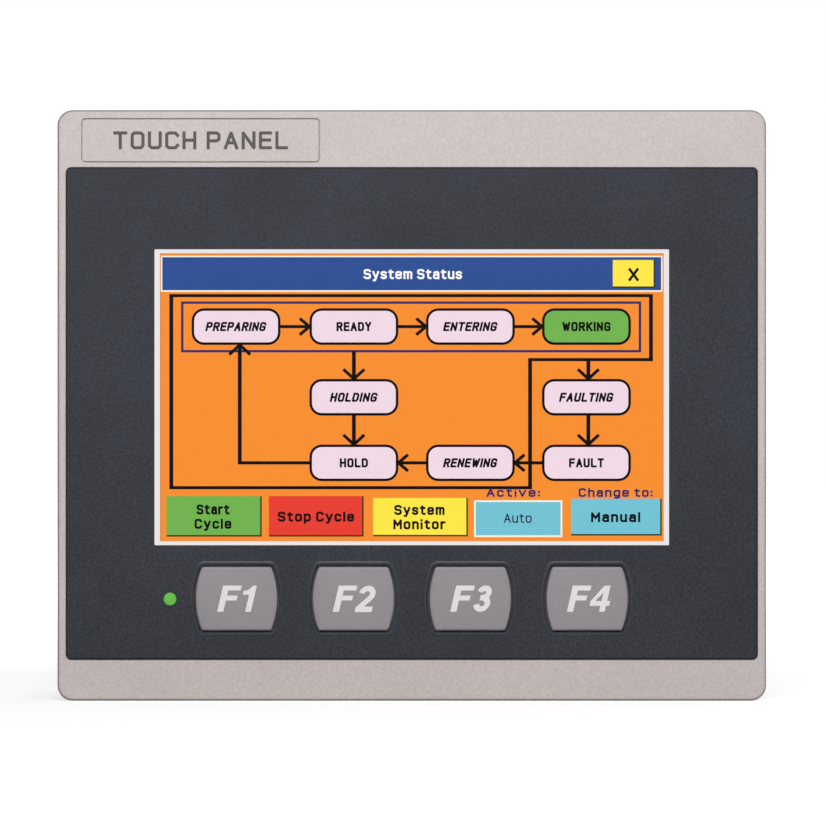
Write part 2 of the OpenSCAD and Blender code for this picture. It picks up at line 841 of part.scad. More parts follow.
// A slotted screw that closes one cage
module terminal_screw(i) {
    color([0.8, 0.8, 0.78]) difference() {
        union() {
            rod(terminal_x(i), terminal_z, 1.9, screw_head_y, screw_head_y + screw_head_t);
            rod(terminal_x(i), terminal_z, 1.2, wire_y + 1, screw_head_y);
        }
        slab(screw_head_y + screw_head_t / 2, plug_back_y)
            translate([terminal_x(i), terminal_z]) square([5, 0.6], center = true);
    }
}

// ---- Data connectors ----

// Open shroud around five pins
module serial_header() {
    half_w = serial_header_size[0] / 2;
    back_y = main_back_y + serial_header_size[1];
    color([0.1, 0.1, 0.1]) difference() {
        block([serial_header_x - half_w, main_back_y, mouth_z],
              [serial_header_x + half_w, back_y, mouth_z + serial_header_size[2]]);
        block([serial_header_x - half_w + serial_wall, main_back_y + serial_wall, mouth_z - 1],
              [serial_header_x + half_w - serial_wall, back_y - serial_wall, mouth_z + 8]);
        header_pin_shapes();
    }
}

// Shielded network socket
module ethernet_jack() {
    low = [ethernet_x - ethernet_size[0] / 2, main_back_y, floor_z + port_gap];
    bore_y = main_back_y + 3.2;
    bore_top_z = floor_z - 1 + ethernet_bore[2];
    color([0.78, 0.79, 0.8]) difference() {
        block(low, low + ethernet_size);
        block([ethernet_x - ethernet_bore[0] / 2, bore_y, floor_z - 1],
              [ethernet_x + ethernet_bore[0] / 2, bore_y + ethernet_bore[1], bore_top_z]);
        block([ethernet_x - ethernet_latch_w / 2, main_back_y + 1.4, floor_z - 1],
              [ethernet_x + ethernet_latch_w / 2, bore_y + 1, bore_top_z]);
    }
}

// Eight spring wires at the rear wall of the network socket
module ethernet_contacts() {
    back_y = main_back_y + 3.2 + ethernet_bore[1];
    color([0.9, 0.75, 0.35]) for (i = [-3.5:3.5]) {
        x = ethernet_x + i * contact_pitch;
        block([x - contact_w / 2, back_y - 0.5, floor_z + 2], [x + contact_w / 2, back_y, floor_z + 12]);
    }
}

// Block with the round serial socket
module serial_port_shell() {
    color([0.12, 0.12, 0.12]) difference() {
        block([round_x - round_size[0] / 2, main_back_y, mouth_z - 1.2],
              [round_x + round_size[0] / 2, main_back_y + round_size[1], mouth_z + round_size[2]]);
        column(mouth_z - 3, mouth_z + 9) translate([round_x, round_y]) circle(round_r);
    }
}

// Round core with eight contact holes
module serial_port_insert() {
    color([0.2, 0.2, 0.2]) difference() {
        column(mouth_z + 1, mouth_z + 9) translate([round_x, round_y]) circle(round_core_r);
        column(mouth_z - 1, mouth_z + 7) translate([round_x, round_y]) {
            for (a = [-60:40:260]) translate(2.6 * [cos(a), sin(a)]) circle(0.35);
            translate([0, -0.4]) square([2.2, 1], center = true);
        }
    }
}

// Folded shell of the wide USB socket on the right side
module usb_host_shell() {
    size = usb_a_size;
    low = [side_x - 0.3 - size[0], main_back_y + 0.3, usb_a_z - size[2] / 2];
    color([0.78, 0.79, 0.8]) difference() {
        block(low, low + size);
        block(low + [0.5, 0.3, 0.3], low + size + [1, -0.3, -0.3]);
    }
}

// Its block and tongue
module usb_host_insert() {
    size = usb_a_size;
    low = [side_x - 0.3 - size[0], main_back_y + 0.3, usb_a_z - size[2] / 2];
    color([0.92, 0.92, 0.9]) {
        block(low + [0.5, 0.3, 0.3], low + [3.5, size[1] - 0.3, size[2] - 0.3]);
        block(low + [3.5, 3.2, 1], low + [size[0] - 1.5, size[1] - 0.6, size[2] - 1]);
    }
}

// Folded shell of the square USB socket at the bottom
module usb_device_shell() {
    size = usb_b_size;
    low = [usb_b_x - size[0] / 2, main_back_y, floor_z + port_gap];
    color([0.78, 0.79, 0.8]) difference() {
        block(low, low + size);
        block(low + [0.5, 0.5, -1], low + size + [-0.5, -0.5, -0.5]);
    }
}

// Its block and tongue
module usb_device_insert() {
    size = usb_b_size;
    low = [usb_b_x - size[0] / 2, main_back_y, floor_z + port_gap];
    color([0.92, 0.92, 0.9]) {
        difference() {
            block(low + [0.5, 0.5, 1], low + size + [-0.5, -0.5, -0.5]);
            block(low + [1.75, 1.4, -1], low + [10.25, 9.3, 10]);
        }
        block(low + [3.2, 3.75, 2.5], low + [8.8, 6.95, 11]);
    }
}

// Flat slot for a memory card
module card_slot() {
    low = [side_x - 2.4 - card_size[0], main_back_y, card_z - card_size[2] / 2];
    color([0.8, 0.8, 0.82]) difference() {
        block(low, low + card_size);
        block(low + [1, 0.35, 1.4], low + card_size + [1, -0.35, -1.4]);
    }
}

// ---- Housing ----

// Box behind the panel, with vents, port openings, screw wells and bayonet slots
module rear_housing() {
    color([0.2, 0.2, 0.21]) difference() {
        union() {
            difference() {
                translate([0, bezel_back_y, 0]) mirror([0, 1, 0]) rotate([90, 0, 0])
                    pillow(housing_w, housing_h, housing_r, housing_edge_r,
                           housing_depth - bezel_back_y);
                slab(bezel_back_y - 1, housing_depth - wall)
                    rrect(housing_w - 2 * wall, housing_h - 2 * wall, housing_r - wall);
            }
            for (x = [-corner_x, corner_x], z = [-corner_z, corner_z]) {
                rod(x, z, well_r + well_wall, well_floor_y, housing_depth - wall / 2);
            }
        }
        for (x = [-corner_x, corner_x], z = [-corner_z, corner_z]) {
            rod(x, z, well_r, well_seat_y, housing_depth + 1);
            rod(x, z, housing_screw_r + 0.25, well_floor_y - 1, well_seat_y + 1);
        }
        for (sx = [-1, 1], sz = [-1, 1]) bayonet_slot(sx, sz);
        port_openings();
        vents();
        slab(housing_depth - label_recess, housing_depth + 1) translate([0, label_z])
            rrect(label_w + 0.4, label_h + 0.4, 1.2);
    }
}

// A bored hole with a slot that lets a lever's bar through at one angle only
module bayonet_slot(sx, sz) {
    translate([sx * side_x, lever_y, sz * lever_z]) across(-wall - 1, wall + 1) {
        circle(shaft_r + shaft_gap);
        rotate(sz * slot_angle) rrect(bar_l + 0.8, bar_w + 0.6, 0.5);
    }
}

module port_openings() {
    floor_cut(power_x, power_body[0] + 2 * port_gap, plug_back_y - power_body[1] - port_gap,
              plug_back_y + port_gap);
    floor_cut(serial_header_x, serial_header_size[0], main_back_y,
              main_back_y + serial_header_size[1]);
    for (port = [[round_x, round_size], [ethernet_x, ethernet_size], [usb_b_x, usb_b_size]]) {
        floor_cut(port[0], port[1][0] + 2 * port_gap, main_back_y - port_gap,
                  main_back_y + port[1][1] + port_gap);
    }
    side_cut(usb_a_z, usb_a_size[2] + 2 * port_gap, main_back_y + 0.3 - port_gap,
             main_back_y + 0.3 + usb_a_size[1] + port_gap);
    side_cut(card_z, card_mouth, main_back_y, main_back_y + card_size[1] + 0.6);
}

// A rectangular hole through the floor, w wide about x, from depth y0 to depth y1
module floor_cut(x, w, y0, y1) {
    block([x - w / 2, y0, floor_z - 1], [x + w / 2, y1, floor_z + wall + 0.1]);
}

// The same through the right side, h high about z
module side_cut(z, h, y0, y1) {
    block([side_x - wall - 0.5, y0, z - h / 2], [side_x + 1, y1, z + h / 2]);
}

module vents() {
    // Top wall
    column(housing_h / 2 - wall - 0.5, housing_h / 2 + 1)
        for (i = [-8:8]) translate([i * vent_pitch, top_vent_y]) rrect(vent_w, top_vent_l, 0.99);
    // Rear wall, in two rows above the label
    slab(housing_depth - wall - 0.5, housing_depth + 1)
        for (i = [-8:8], z = rear_vent_z) {
            translate([i * vent_pitch, z]) rrect(vent_w, rear_vent_l, 0.99);
        }
}

module housing_screws() {
    color([0.8, 0.8, 0.78]) for (x = [-corner_x, corner_x], z = [-corner_z, corner_z]) {
        pan_screw(x, z, well_seat_y, 2.75, 2, housing_screw_r, 11);
    }
}

// Blank adhesive label on the rear wall
module rating_label() {
    back_y = housing_depth - label_recess;
    color([0.85, 0.85, 0.85]) slab(back_y, back_y + label_t)
        translate([0, label_z]) rrect(label_w, label_h, 1);
}

// ---- Mounting levers ----

// One lever: sx is 1 on the right and -1 on the left, sz is 1 above and -1 below. Its bar, turned
// behind the wall, holds it, and its cam swings down on the panel when the arm is turned outwards.
module mounting_lever(sx, sz) {
    inner_x = -wall - move_gap;
    outer_x = move_gap + lever_t;
    color([0.13, 0.13, 0.14]) translate([sx * side_x, lever_y, sz * lever_z])
        mirror([sx < 0 ? 1 : 0, 0, 0]) mirror([0, 0, sz < 0 ? 1 : 0]) {
            across(inner_x - bar_t, move_gap + 0.5) circle(shaft_r);
            across(inner_x - bar_t, inner_x) rrect(bar_l, bar_w, 0.5);
            across(move_gap, outer_x) {
                circle(lever_hub_r);
                translate([0, lever_cam_offset]) circle(lever_hub_r);
                translate([-lever_hub_r, 0]) square([2 * lever_hub_r, lever_cam_offset]);
                translate([0, -lever_tip_r]) square([lever_arm - lever_tip_r, 2 * lever_tip_r]);
                translate([lever_arm - lever_tip_r, 0]) circle(lever_tip_r);
            }
            // Finger ridges near the end of the arm
            across(outer_x - 0.5, outer_x + ridge_h) for (i = [0:2]) {
                translate([lever_arm - lever_tip_r - 1 - ridge_pitch * i, 0])
                    square([ridge_w, 2 * lever_tip_r - 1], center = true);
            }
        }
}

front_bezel();
nameplate();
front_overlay();
touch_screen();
touch_seal();
lcd_frame();
lcd_glass();
lcd_backlight();
chassis_plate();
inner_screws();
panel_gasket();
status_light_pipe();
keypad_board();
tact_switches();
status_led();
display_ribbon();
touch_ribbon();
keypad_ribbon();
ribbon_connectors();
key_cap(1);  // key_f1
key_cap(2);  // key_f2
key_cap(3);  // key_f3
key_cap(4);  // key_f4
switch_plunger(1);  // switch_plunger_1
switch_plunger(2);  // switch_plunger_2
switch_plunger(3);  // switch_plunger_3
switch_plunger(4);  // switch_plunger_4
main_board();
board_standoffs();
processor_chip();
memory_chips();
power_inductor();
capacitors();
battery_holder();
coin_battery();
power_header();
header_pins();
power_plug();
terminal_cages();
terminal_screw(1);  // terminal_screw_1
terminal_screw(2);  // terminal_screw_2
terminal_screw(3);  // terminal_screw_3
ethernet_jack();
ethernet_contacts();
serial_port_shell();
serial_port_insert();
serial_header();
usb_host_shell();
usb_host_insert();
usb_device_shell();
usb_device_insert();
card_slot();
rear_housing();
housing_screws();
rating_label();
mounting_lever(1, 1);  // lever_right_top
mounting_lever(1, -1);  // lever_right_bottom
mounting_lever(-1, 1);  // lever_left_top
mounting_lever(-1, -1);  // lever_left_bottom
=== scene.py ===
import json
import math

import bmesh
import bpy
from mathutils import Matrix, Vector, geometry


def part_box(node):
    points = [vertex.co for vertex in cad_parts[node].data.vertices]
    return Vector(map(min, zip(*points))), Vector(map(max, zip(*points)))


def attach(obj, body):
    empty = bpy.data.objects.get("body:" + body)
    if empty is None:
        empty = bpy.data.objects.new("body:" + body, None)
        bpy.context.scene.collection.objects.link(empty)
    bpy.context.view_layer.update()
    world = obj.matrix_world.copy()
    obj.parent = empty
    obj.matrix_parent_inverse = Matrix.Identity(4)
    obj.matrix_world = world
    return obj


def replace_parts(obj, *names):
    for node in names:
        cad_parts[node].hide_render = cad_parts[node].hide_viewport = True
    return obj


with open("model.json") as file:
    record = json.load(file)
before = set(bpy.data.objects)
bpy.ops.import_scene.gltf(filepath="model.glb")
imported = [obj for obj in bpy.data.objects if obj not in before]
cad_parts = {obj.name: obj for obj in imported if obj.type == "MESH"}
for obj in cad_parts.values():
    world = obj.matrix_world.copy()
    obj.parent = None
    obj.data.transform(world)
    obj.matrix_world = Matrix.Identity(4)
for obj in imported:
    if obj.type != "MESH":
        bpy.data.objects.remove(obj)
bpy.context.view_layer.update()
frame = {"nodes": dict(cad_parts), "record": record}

# Looks of a panel-mounted touch terminal: materials, keys, printed and lit details, light, camera.
# Geometry is written in millimetres in the row frame (+X right, +Y rear, +Z up) and scaled once.
MM = 0.001
nodes = frame["nodes"]


def low(node):
    """Lowest corner of a CAD node, in millimetres."""
    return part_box(node)[0] / MM


def high(node):
    """Highest corner of a CAD node, in millimetres."""
    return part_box(node)[1] / MM


def middle(node):
    """Middle of a CAD node's box, in millimetres."""
    return (low(node) + high(node)) / 2


# Depths of the front faces and the rating label, and the height of the floor
BEZEL_Y = low("front_bezel").y
OVERLAY_Y = low("front_overlay").y
KEY_Y = low("key_f1").y
GLASS_Y = low("touch_screen").y
CELL_Y = low("lcd_glass").y
LABEL_Y = high("rating_label").y
FLOOR_Z = low("front_bezel").z

# Overlay: the gap round it in its recess, how far above the recess's middle it sits, its corners
OVERLAY_GAP = 0.25
OVERLAY_LIFT = 0.1
OVERLAY_CORNER_R = 0.8

# Screen: how much wider and higher the touch sensor is than the window it lies behind, the
# window, the picture in it, and the thickness of one of the picture's layers
SENSOR_EXTRA_W = 4.3
SENSOR_EXTRA_H = 3.9
WINDOW_Z = middle("touch_screen").z
WINDOW_W = high("touch_screen").x - low("touch_screen").x - SENSOR_EXTRA_W
WINDOW_H = high("touch_screen").z - low("touch_screen").z - SENSOR_EXTRA_H
PICTURE_W = 98.2
PICTURE_H = 56.2
PICTURE_LEFT = -PICTURE_W / 2
PICTURE_TOP = WINDOW_Z + PICTURE_H / 2
LAYER_T = 0.035

# Keys: the outline that the CAD gives them
KEY_W = 15.9
KEY_H = 12.4
KEY_SIDE_R = 16.7
KEY_CORNER_R = 0.6


# ---- Materials ----


def srgb(red, green, blue):
    """A colour given as 0-255 screen values, as the linear colour that the shader takes."""
    def linear(v):
        v /= 255
        return v / 12.92 if v <= 0.04045 else ((v + 0.055) / 1.055) ** 2.4
    return (linear(red), linear(green), linear(blue), 1)


def shaded(colour, factor):
    """The colour made darker or lighter by a factor."""
    return tuple(min(c * factor, 1) for c in colour[:3]) + (1,)


class Finish:
    """A Principled material fed by procedural patterns, with their sizes in millimetres."""

    def __init__(self, slot, colour, roughness, **uniform):
        self.slot = slot
        self.material = bpy.data.materials.new(slot + "_finish")
        self.material.use_nodes = True
        self.tree = self.material.node_tree
        self.shader = self.tree.nodes["Principled BSDF"]
        self.colour = colour
        self.roughness = roughness
        self.shader.inputs["Base Color"].default_value = colour
        self.shader.inputs["Roughness"].default_value = roughness
        for socket, value in uniform.items():
            self.shader.inputs[socket.replace("_", " ")].default_value = value
        self.position = self.node("ShaderNodeTexCoord").outputs["Object"]
        self.normal = None

    def node(self, kind, inputs=(), **settings):
        """A new shader node. Each input takes either a value or another node's output."""
        made = self.tree.nodes.new(kind)
        for name, value in settings.items():
            setattr(made, name, value)
        for name, value in dict(inputs).items():
            if isinstance(value, bpy.types.NodeSocket):
                self.tree.links.new(value, made.inputs[name])
            else:
                made.inputs[name].default_value = value
        return made

    def stretched(self, stretch):
        """The position, drawn out along the axes where stretch is above 1."""
        if stretch is None:
            return self.position
        scale = tuple(1 / s for s in stretch)
        return self.node("ShaderNodeMapping", {"Vector": self.position, "Scale": scale}).outputs[0]

    def noise(self, size, detail=2.0, stretch=None):
        """Soft random pattern, 0 to 1, whose features are about size across."""
        return self.node("ShaderNodeTexNoise", {
            "Vector": self.stretched(stretch), "Scale": 1 / (size * MM), "Detail": detail,
        }).outputs["Fac"]

    def cells(self, size, stretch=None):
        """Distance from the nearest point of a random set spaced about size apart."""
        return self.node("ShaderNodeTexVoronoi", {
            "Vector": self.stretched(stretch), "Scale": 1 / (size * MM),
        }).outputs["Distance"]

    def spread(self, value, out_low, out_high, in_low=0.3, in_high=0.7):
        """Maps a pattern to out_low to out_high. Most noise lies between 0.3 and 0.7."""
        return self.node("ShaderNodeMapRange", {
            "Value": value, "From Min": in_low, "From Max": in_high,
            "To Min": out_low, "To Max": out_high,
        }).outputs["Result"]

    def vary_colour(self, pattern, dark, light, in_low=0.3, in_high=0.7):
        """Shades the colour by the pattern, from dark to light times its own value."""
        self.colour = self.node("ShaderNodeMix", {
            "Factor": 1, "A": self.colour,
            "B": self.spread(pattern, dark, light, in_low, in_high),
        }, data_type="RGBA", blend_type="MULTIPLY").outputs["Result"]
        self.tree.links.new(self.colour, self.shader.inputs["Base Color"])
        return self

    def vary_roughness(self, pattern, amount):
        """Spreads the roughness by the pattern, up to amount either way."""
        value = self.spread(pattern, self.roughness - amount, self.roughness + amount)
        self.tree.links.new(value, self.shader.inputs["Roughness"])
        return self

    def bump(self, pattern, depth, strength=1.0):
        """Raises the surface by up to depth where the pattern is 1."""
        inputs = {"Height": pattern, "Distance": depth * MM, "Strength": strength}
        if self.normal:
            inputs["Normal"] = self.normal
        self.normal = self.node("ShaderNodeBump", inputs).outputs["Normal"]
        self.tree.links.new(self.normal, self.shader.inputs["Normal"])
        return self


def moulded(slot, colour, roughness, grain=0.45, depth=0.02, mottle=0.08, **uniform):
    """Moulded plastic with a spark-eroded grain and a faint unevenness of colour."""
    finish = Finish(slot, colour, roughness, **uniform)
    coarse = finish.noise(22, 3)
    fine = finish.noise(grain, 3)
    finish.vary_colour(coarse, 1 - mottle / 3, 1 + mottle / 3)
    finish.vary_colour(fine, 1 - mottle, 1 + mottle)
    finish.vary_roughness(fine, 0.06)
    finish.bump(fine, depth)
    return finish.bump(finish.cells(grain * 1.6), depth / 2, 0.6)


def painted_edge_shade(finish):
    """Paints shade into the colour along the rounded edge between the front and the sides: darkest
    where the edge turns partly away from the front, none on the front face, the sides or the back.
    """
    normal = finish.node("ShaderNodeSeparateXYZ", {
        "Vector": finish.node("ShaderNodeTexCoord").outputs["Normal"]})
    front = finish.node("ShaderNodeMath", {0: normal.outputs["Y"], 1: -1.0},
                        operation="MULTIPLY").outputs[0]
    shade = finish.node("ShaderNodeMath", {
        0: finish.spread(front, 0.35, 1, 0.6, 0.98),
        1: finish.spread(front, 1, 0, 0.05, 0.3),
    }, operation="MAXIMUM").outputs[0]
    return finish.vary_colour(shade, 0, 1, 0, 1)


def sheet_metal(slot, colour, roughness, stretch=(14, 1, 1)):
    """Rolled metal with fine streaks along one direction and faint stains."""
    finish = Finish(slot, colour, roughness, Metallic=1.0)
    streaks = finish.noise(0.25, 4, stretch)
    stains = finish.noise(7, 4)
    finish.vary_colour(streaks, 0.9, 1.06)
    finish.vary_colour(stains, 0.94, 1.04)
    finish.vary_roughness(streaks, 0.1)
    return finish.bump(streaks, 0.006)


def soft_rubber(slot, colour, pore, depth):
    """Matt rubber or foam with open pores."""
    finish = Finish(slot, colour, 0.85)
    pores = finish.cells(pore)
    finish.vary_colour(finish.noise(6, 4), 0.8, 1.25)
    finish.vary_colour(pores, 0.85, 1.15)
    finish.vary_roughness(pores, 0.06)
    return finish.bump(pores, depth)


def circuit_board(slot, colour):
    """Solder mask over copper: narrow tracks show as a raised, slightly lighter weave."""
    finish = Finish(slot, colour, 0.34, Coat_Weight=0.3)
    tracks = finish.cells(1.6, (6, 1, 1))
    finish.vary_colour(tracks, 0.75, 1.35)
    finish.vary_colour(finish.noise(0.5, 2), 0.93, 1.07)
    finish.vary_roughness(tracks, 0.05)
    return finish.bump(tracks, 0.03)


# Scale of the wave pattern that draws the conductors of a flexible ribbon
CONDUCTOR_WAVES = 300.0


def flexible_film(slot, colour):
    """Amber film with conductors running along it."""
    finish = Finish(slot, colour, 0.3, Coat_Weight=0.4)
    lines = finish.node("ShaderNodeTexWave", {
        "Vector": finish.position, "Scale": CONDUCTOR_WAVES,
    }, bands_direction="X").outputs["Fac"]
    finish.vary_colour(lines, 0.6, 1.15)
    finish.vary_colour(finish.noise(3, 3), 0.9, 1.1)
    finish.vary_roughness(lines, 0.05)
    return finish.bump(lines, 0.02)


# The display: the spacing of its pixels, and how strongly the picture shines
PIXEL_PITCH = 0.2046
PICTURE_GLOW = 0.94


def lit_ink(slot, colour):
    """One colour of the lit picture, with the display's pixel grid in its surface."""
    finish = Finish(slot, shaded(colour, 0.16), 0.42)
    finish.shader.inputs["Emission Color"].default_value = colour
    finish.shader.inputs["Emission Strength"].default_value = PICTURE_GLOW
    finish.shader.inputs["Specular IOR Level"].default_value = 0.02
    pixels = finish.node("ShaderNodeTexBrick", {
        "Vector": finish.node("ShaderNodeMapping", {
            "Vector": finish.position, "Rotation": (math.pi / 2, 0, 0),
        }).outputs[0],
        "Scale": 1 / (PIXEL_PITCH * MM), "Mortar Size": 0.06, "Color1": (1, 1, 1, 1),
        "Color2": (0.9, 0.9, 0.9, 1), "Mortar": (0.3, 0.3, 0.3, 1),
        "Brick Width": 1.0, "Row Height": 1.0,
    }, offset=0.0).outputs["Color"]
    finish.vary_colour(pixels, 0.8, 1.1)
    return finish.vary_roughness(finish.noise(0.5, 2), 0.04)


def printed(slot, colour, roughness):
    """Screen-printed ink: nearly even, with a slightly dry texture all over."""
    finish = Finish(slot, colour, roughness)
    finish.vary_colour(finish.noise(0.3, 3), 0.95, 1.04)
    finish.vary_roughness(finish.noise(0.8, 2), 0.05)
    return finish.bump(finish.noise(0.2, 2), 0.004)


def clear_glass(slot):
    """Hard-coated touch sensor, nearly invisible over the picture."""
    finish = Finish(slot, (0.03, 0.032, 0.035, 1), 0.12, Alpha=0.03, IOR=1.45)
    haze = finish.noise(5, 3)
    finish.vary_colour(haze, 0.97, 1.03)
    finish.vary_roughness(haze, 0.04)
    return finish


def glowing_lens(slot, colour):
    """Tinted lens lit from behind."""
    finish = Finish(slot, shaded(colour, 0.4), 0.55)
    finish.shader.inputs["Emission Color"].default_value = colour
    finish.shader.inputs["Emission Strength"].default_value = 0.6
    finish.shader.inputs["Specular IOR Level"].default_value = 0.2
    finish.vary_colour(finish.noise(0.5, 2), 0.9, 1.1)
    finish.vary_roughness(finish.noise(0.7, 2), 0.05)
    return finish.bump(finish.cells(0.35), 0.01, 0.5)


FINISHES = [
    # The bezel's plastic carries a painted shade along its rounded front edge
    painted_edge_shade(moulded("bezel_plastic", srgb(192, 182, 180), 0.5, grain=0.4, depth=0.014,
                        mottle=0.09)),
    moulded("overlay_film", srgb(49, 52, 59), 0.5, grain=0.4, depth=0.014, mottle=0.35,
            Specular_IOR_Level=0.15),
    # Painted shade: near-black ring that stands for the shade down in the gap round the overlay
    printed("overlay_gap_shade", srgb(14, 14, 15), 0.7),
    moulded("overlay_crest", srgb(49, 52, 59), 0.4, grain=0.3, depth=0.02, mottle=0.35,
            Specular_IOR_Level=0.35),
    clear_glass("touch_glass"),
    soft_rubber("foam", srgb(40, 40, 41), 0.5, 0.08),
    sheet_metal("steel_sheet", srgb(205, 207, 210), 0.34),
    moulded("lcd_cell", srgb(38, 40, 46), 0.12, grain=2, depth=0.002, Coat_Weight=0.5),
    moulded("backlight", srgb(236, 236, 228), 0.5, grain=0.8),
    sheet_metal("plate_aluminium", srgb(205, 207, 209), 0.4),
    sheet_metal("zinc_screw", srgb(200, 202, 200), 0.3, (1, 5, 1)),
    soft_rubber("gasket_rubber", srgb(42, 42, 43), 0.5, 0.05),
    glowing_lens("light_green", srgb(104, 186, 70)),
    circuit_board("board_green", srgb(22, 84, 52)),
    moulded("switch_black", srgb(34, 34, 35), 0.5),
    flexible_film("ribbon_film", srgb(186, 120, 48)),
    moulded("socket_cream", srgb(228, 222, 204), 0.5),
    moulded("key_plastic", srgb(139, 135, 139), 0.5, grain=0.35, depth=0.012, mottle=0.08),
    sheet_metal("brass_spacer", srgb(212, 176, 98), 0.28, (1, 6, 1)),
    moulded("chip_black", srgb(34, 34, 36), 0.55, grain=0.25),
    sheet_metal("can_aluminium", srgb(208, 210, 214), 0.3, (1, 12, 1)),
    sheet_metal("cell_steel", srgb(214, 214, 216), 0.22, (6, 1, 6)),
    moulded("header_black", srgb(36, 36, 37), 0.48, grain=0.3),
    sheet_metal("tin_pins", srgb(206, 202, 190), 0.32, (1, 1, 8)),
    sheet_metal("gold_contacts", srgb(226, 186, 96), 0.22, (1, 1, 8)),
    moulded("plug_green", srgb(48, 128, 74), 0.42, grain=0.35, depth=0.015),
    sheet_metal("shield_steel", srgb(206, 208, 211), 0.3, (1, 1, 9)),
    moulded("tongue_white", srgb(232, 232, 226), 0.45, grain=0.3),
    moulded("housing_plastic", srgb(64, 65, 68), 0.46, grain=0.8, depth=0.07, mottle=0.16),
    moulded("label_film", srgb(216, 217, 219), 0.35, grain=1.2, depth=0.004),
    moulded("lever_plastic", srgb(52, 52, 55), 0.42, grain=0.6, depth=0.05, mottle=0.14),
    printed("ink_dark", srgb(66, 60, 60), 0.5),
    printed("ink_white", srgb(226, 221, 225), 0.5),
    lit_ink("screen_orange", srgb(245, 141, 48)),
    lit_ink("screen_white", srgb(226, 222, 224)),
    lit_ink("screen_cream", srgb(246, 240, 222)),
    lit_ink("screen_bright", srgb(253, 253, 255)),
    lit_ink("screen_blue", srgb(44, 77, 146)),
    lit_ink("screen_green", srgb(112, 176, 79)),
    lit_ink("screen_red", srgb(229, 63, 50)),
    lit_ink("screen_yellow", srgb(251, 229, 70)),
    lit_ink("screen_cyan", srgb(114, 193, 211)),
    lit_ink("screen_pink", srgb(238, 214, 227)),
    lit_ink("screen_purple", srgb(48, 42, 104)),
    lit_ink("screen_olive", srgb(48, 52, 18)),
    lit_ink("screen_black", srgb(12, 10, 10)),
]
MATERIALS = {finish.slot: finish.material for finish in FINISHES}


def dress_cad_nodes():
    """Gives each CAD node the material of its slot in the record."""
    for part in frame["record"]["subparts"]:
        mesh = nodes[part["node"]].data
        mesh.materials.clear()
        mesh.materials.append(MATERIALS[part["material_slot"]])


# ---- Lettering drawn as strokes ----

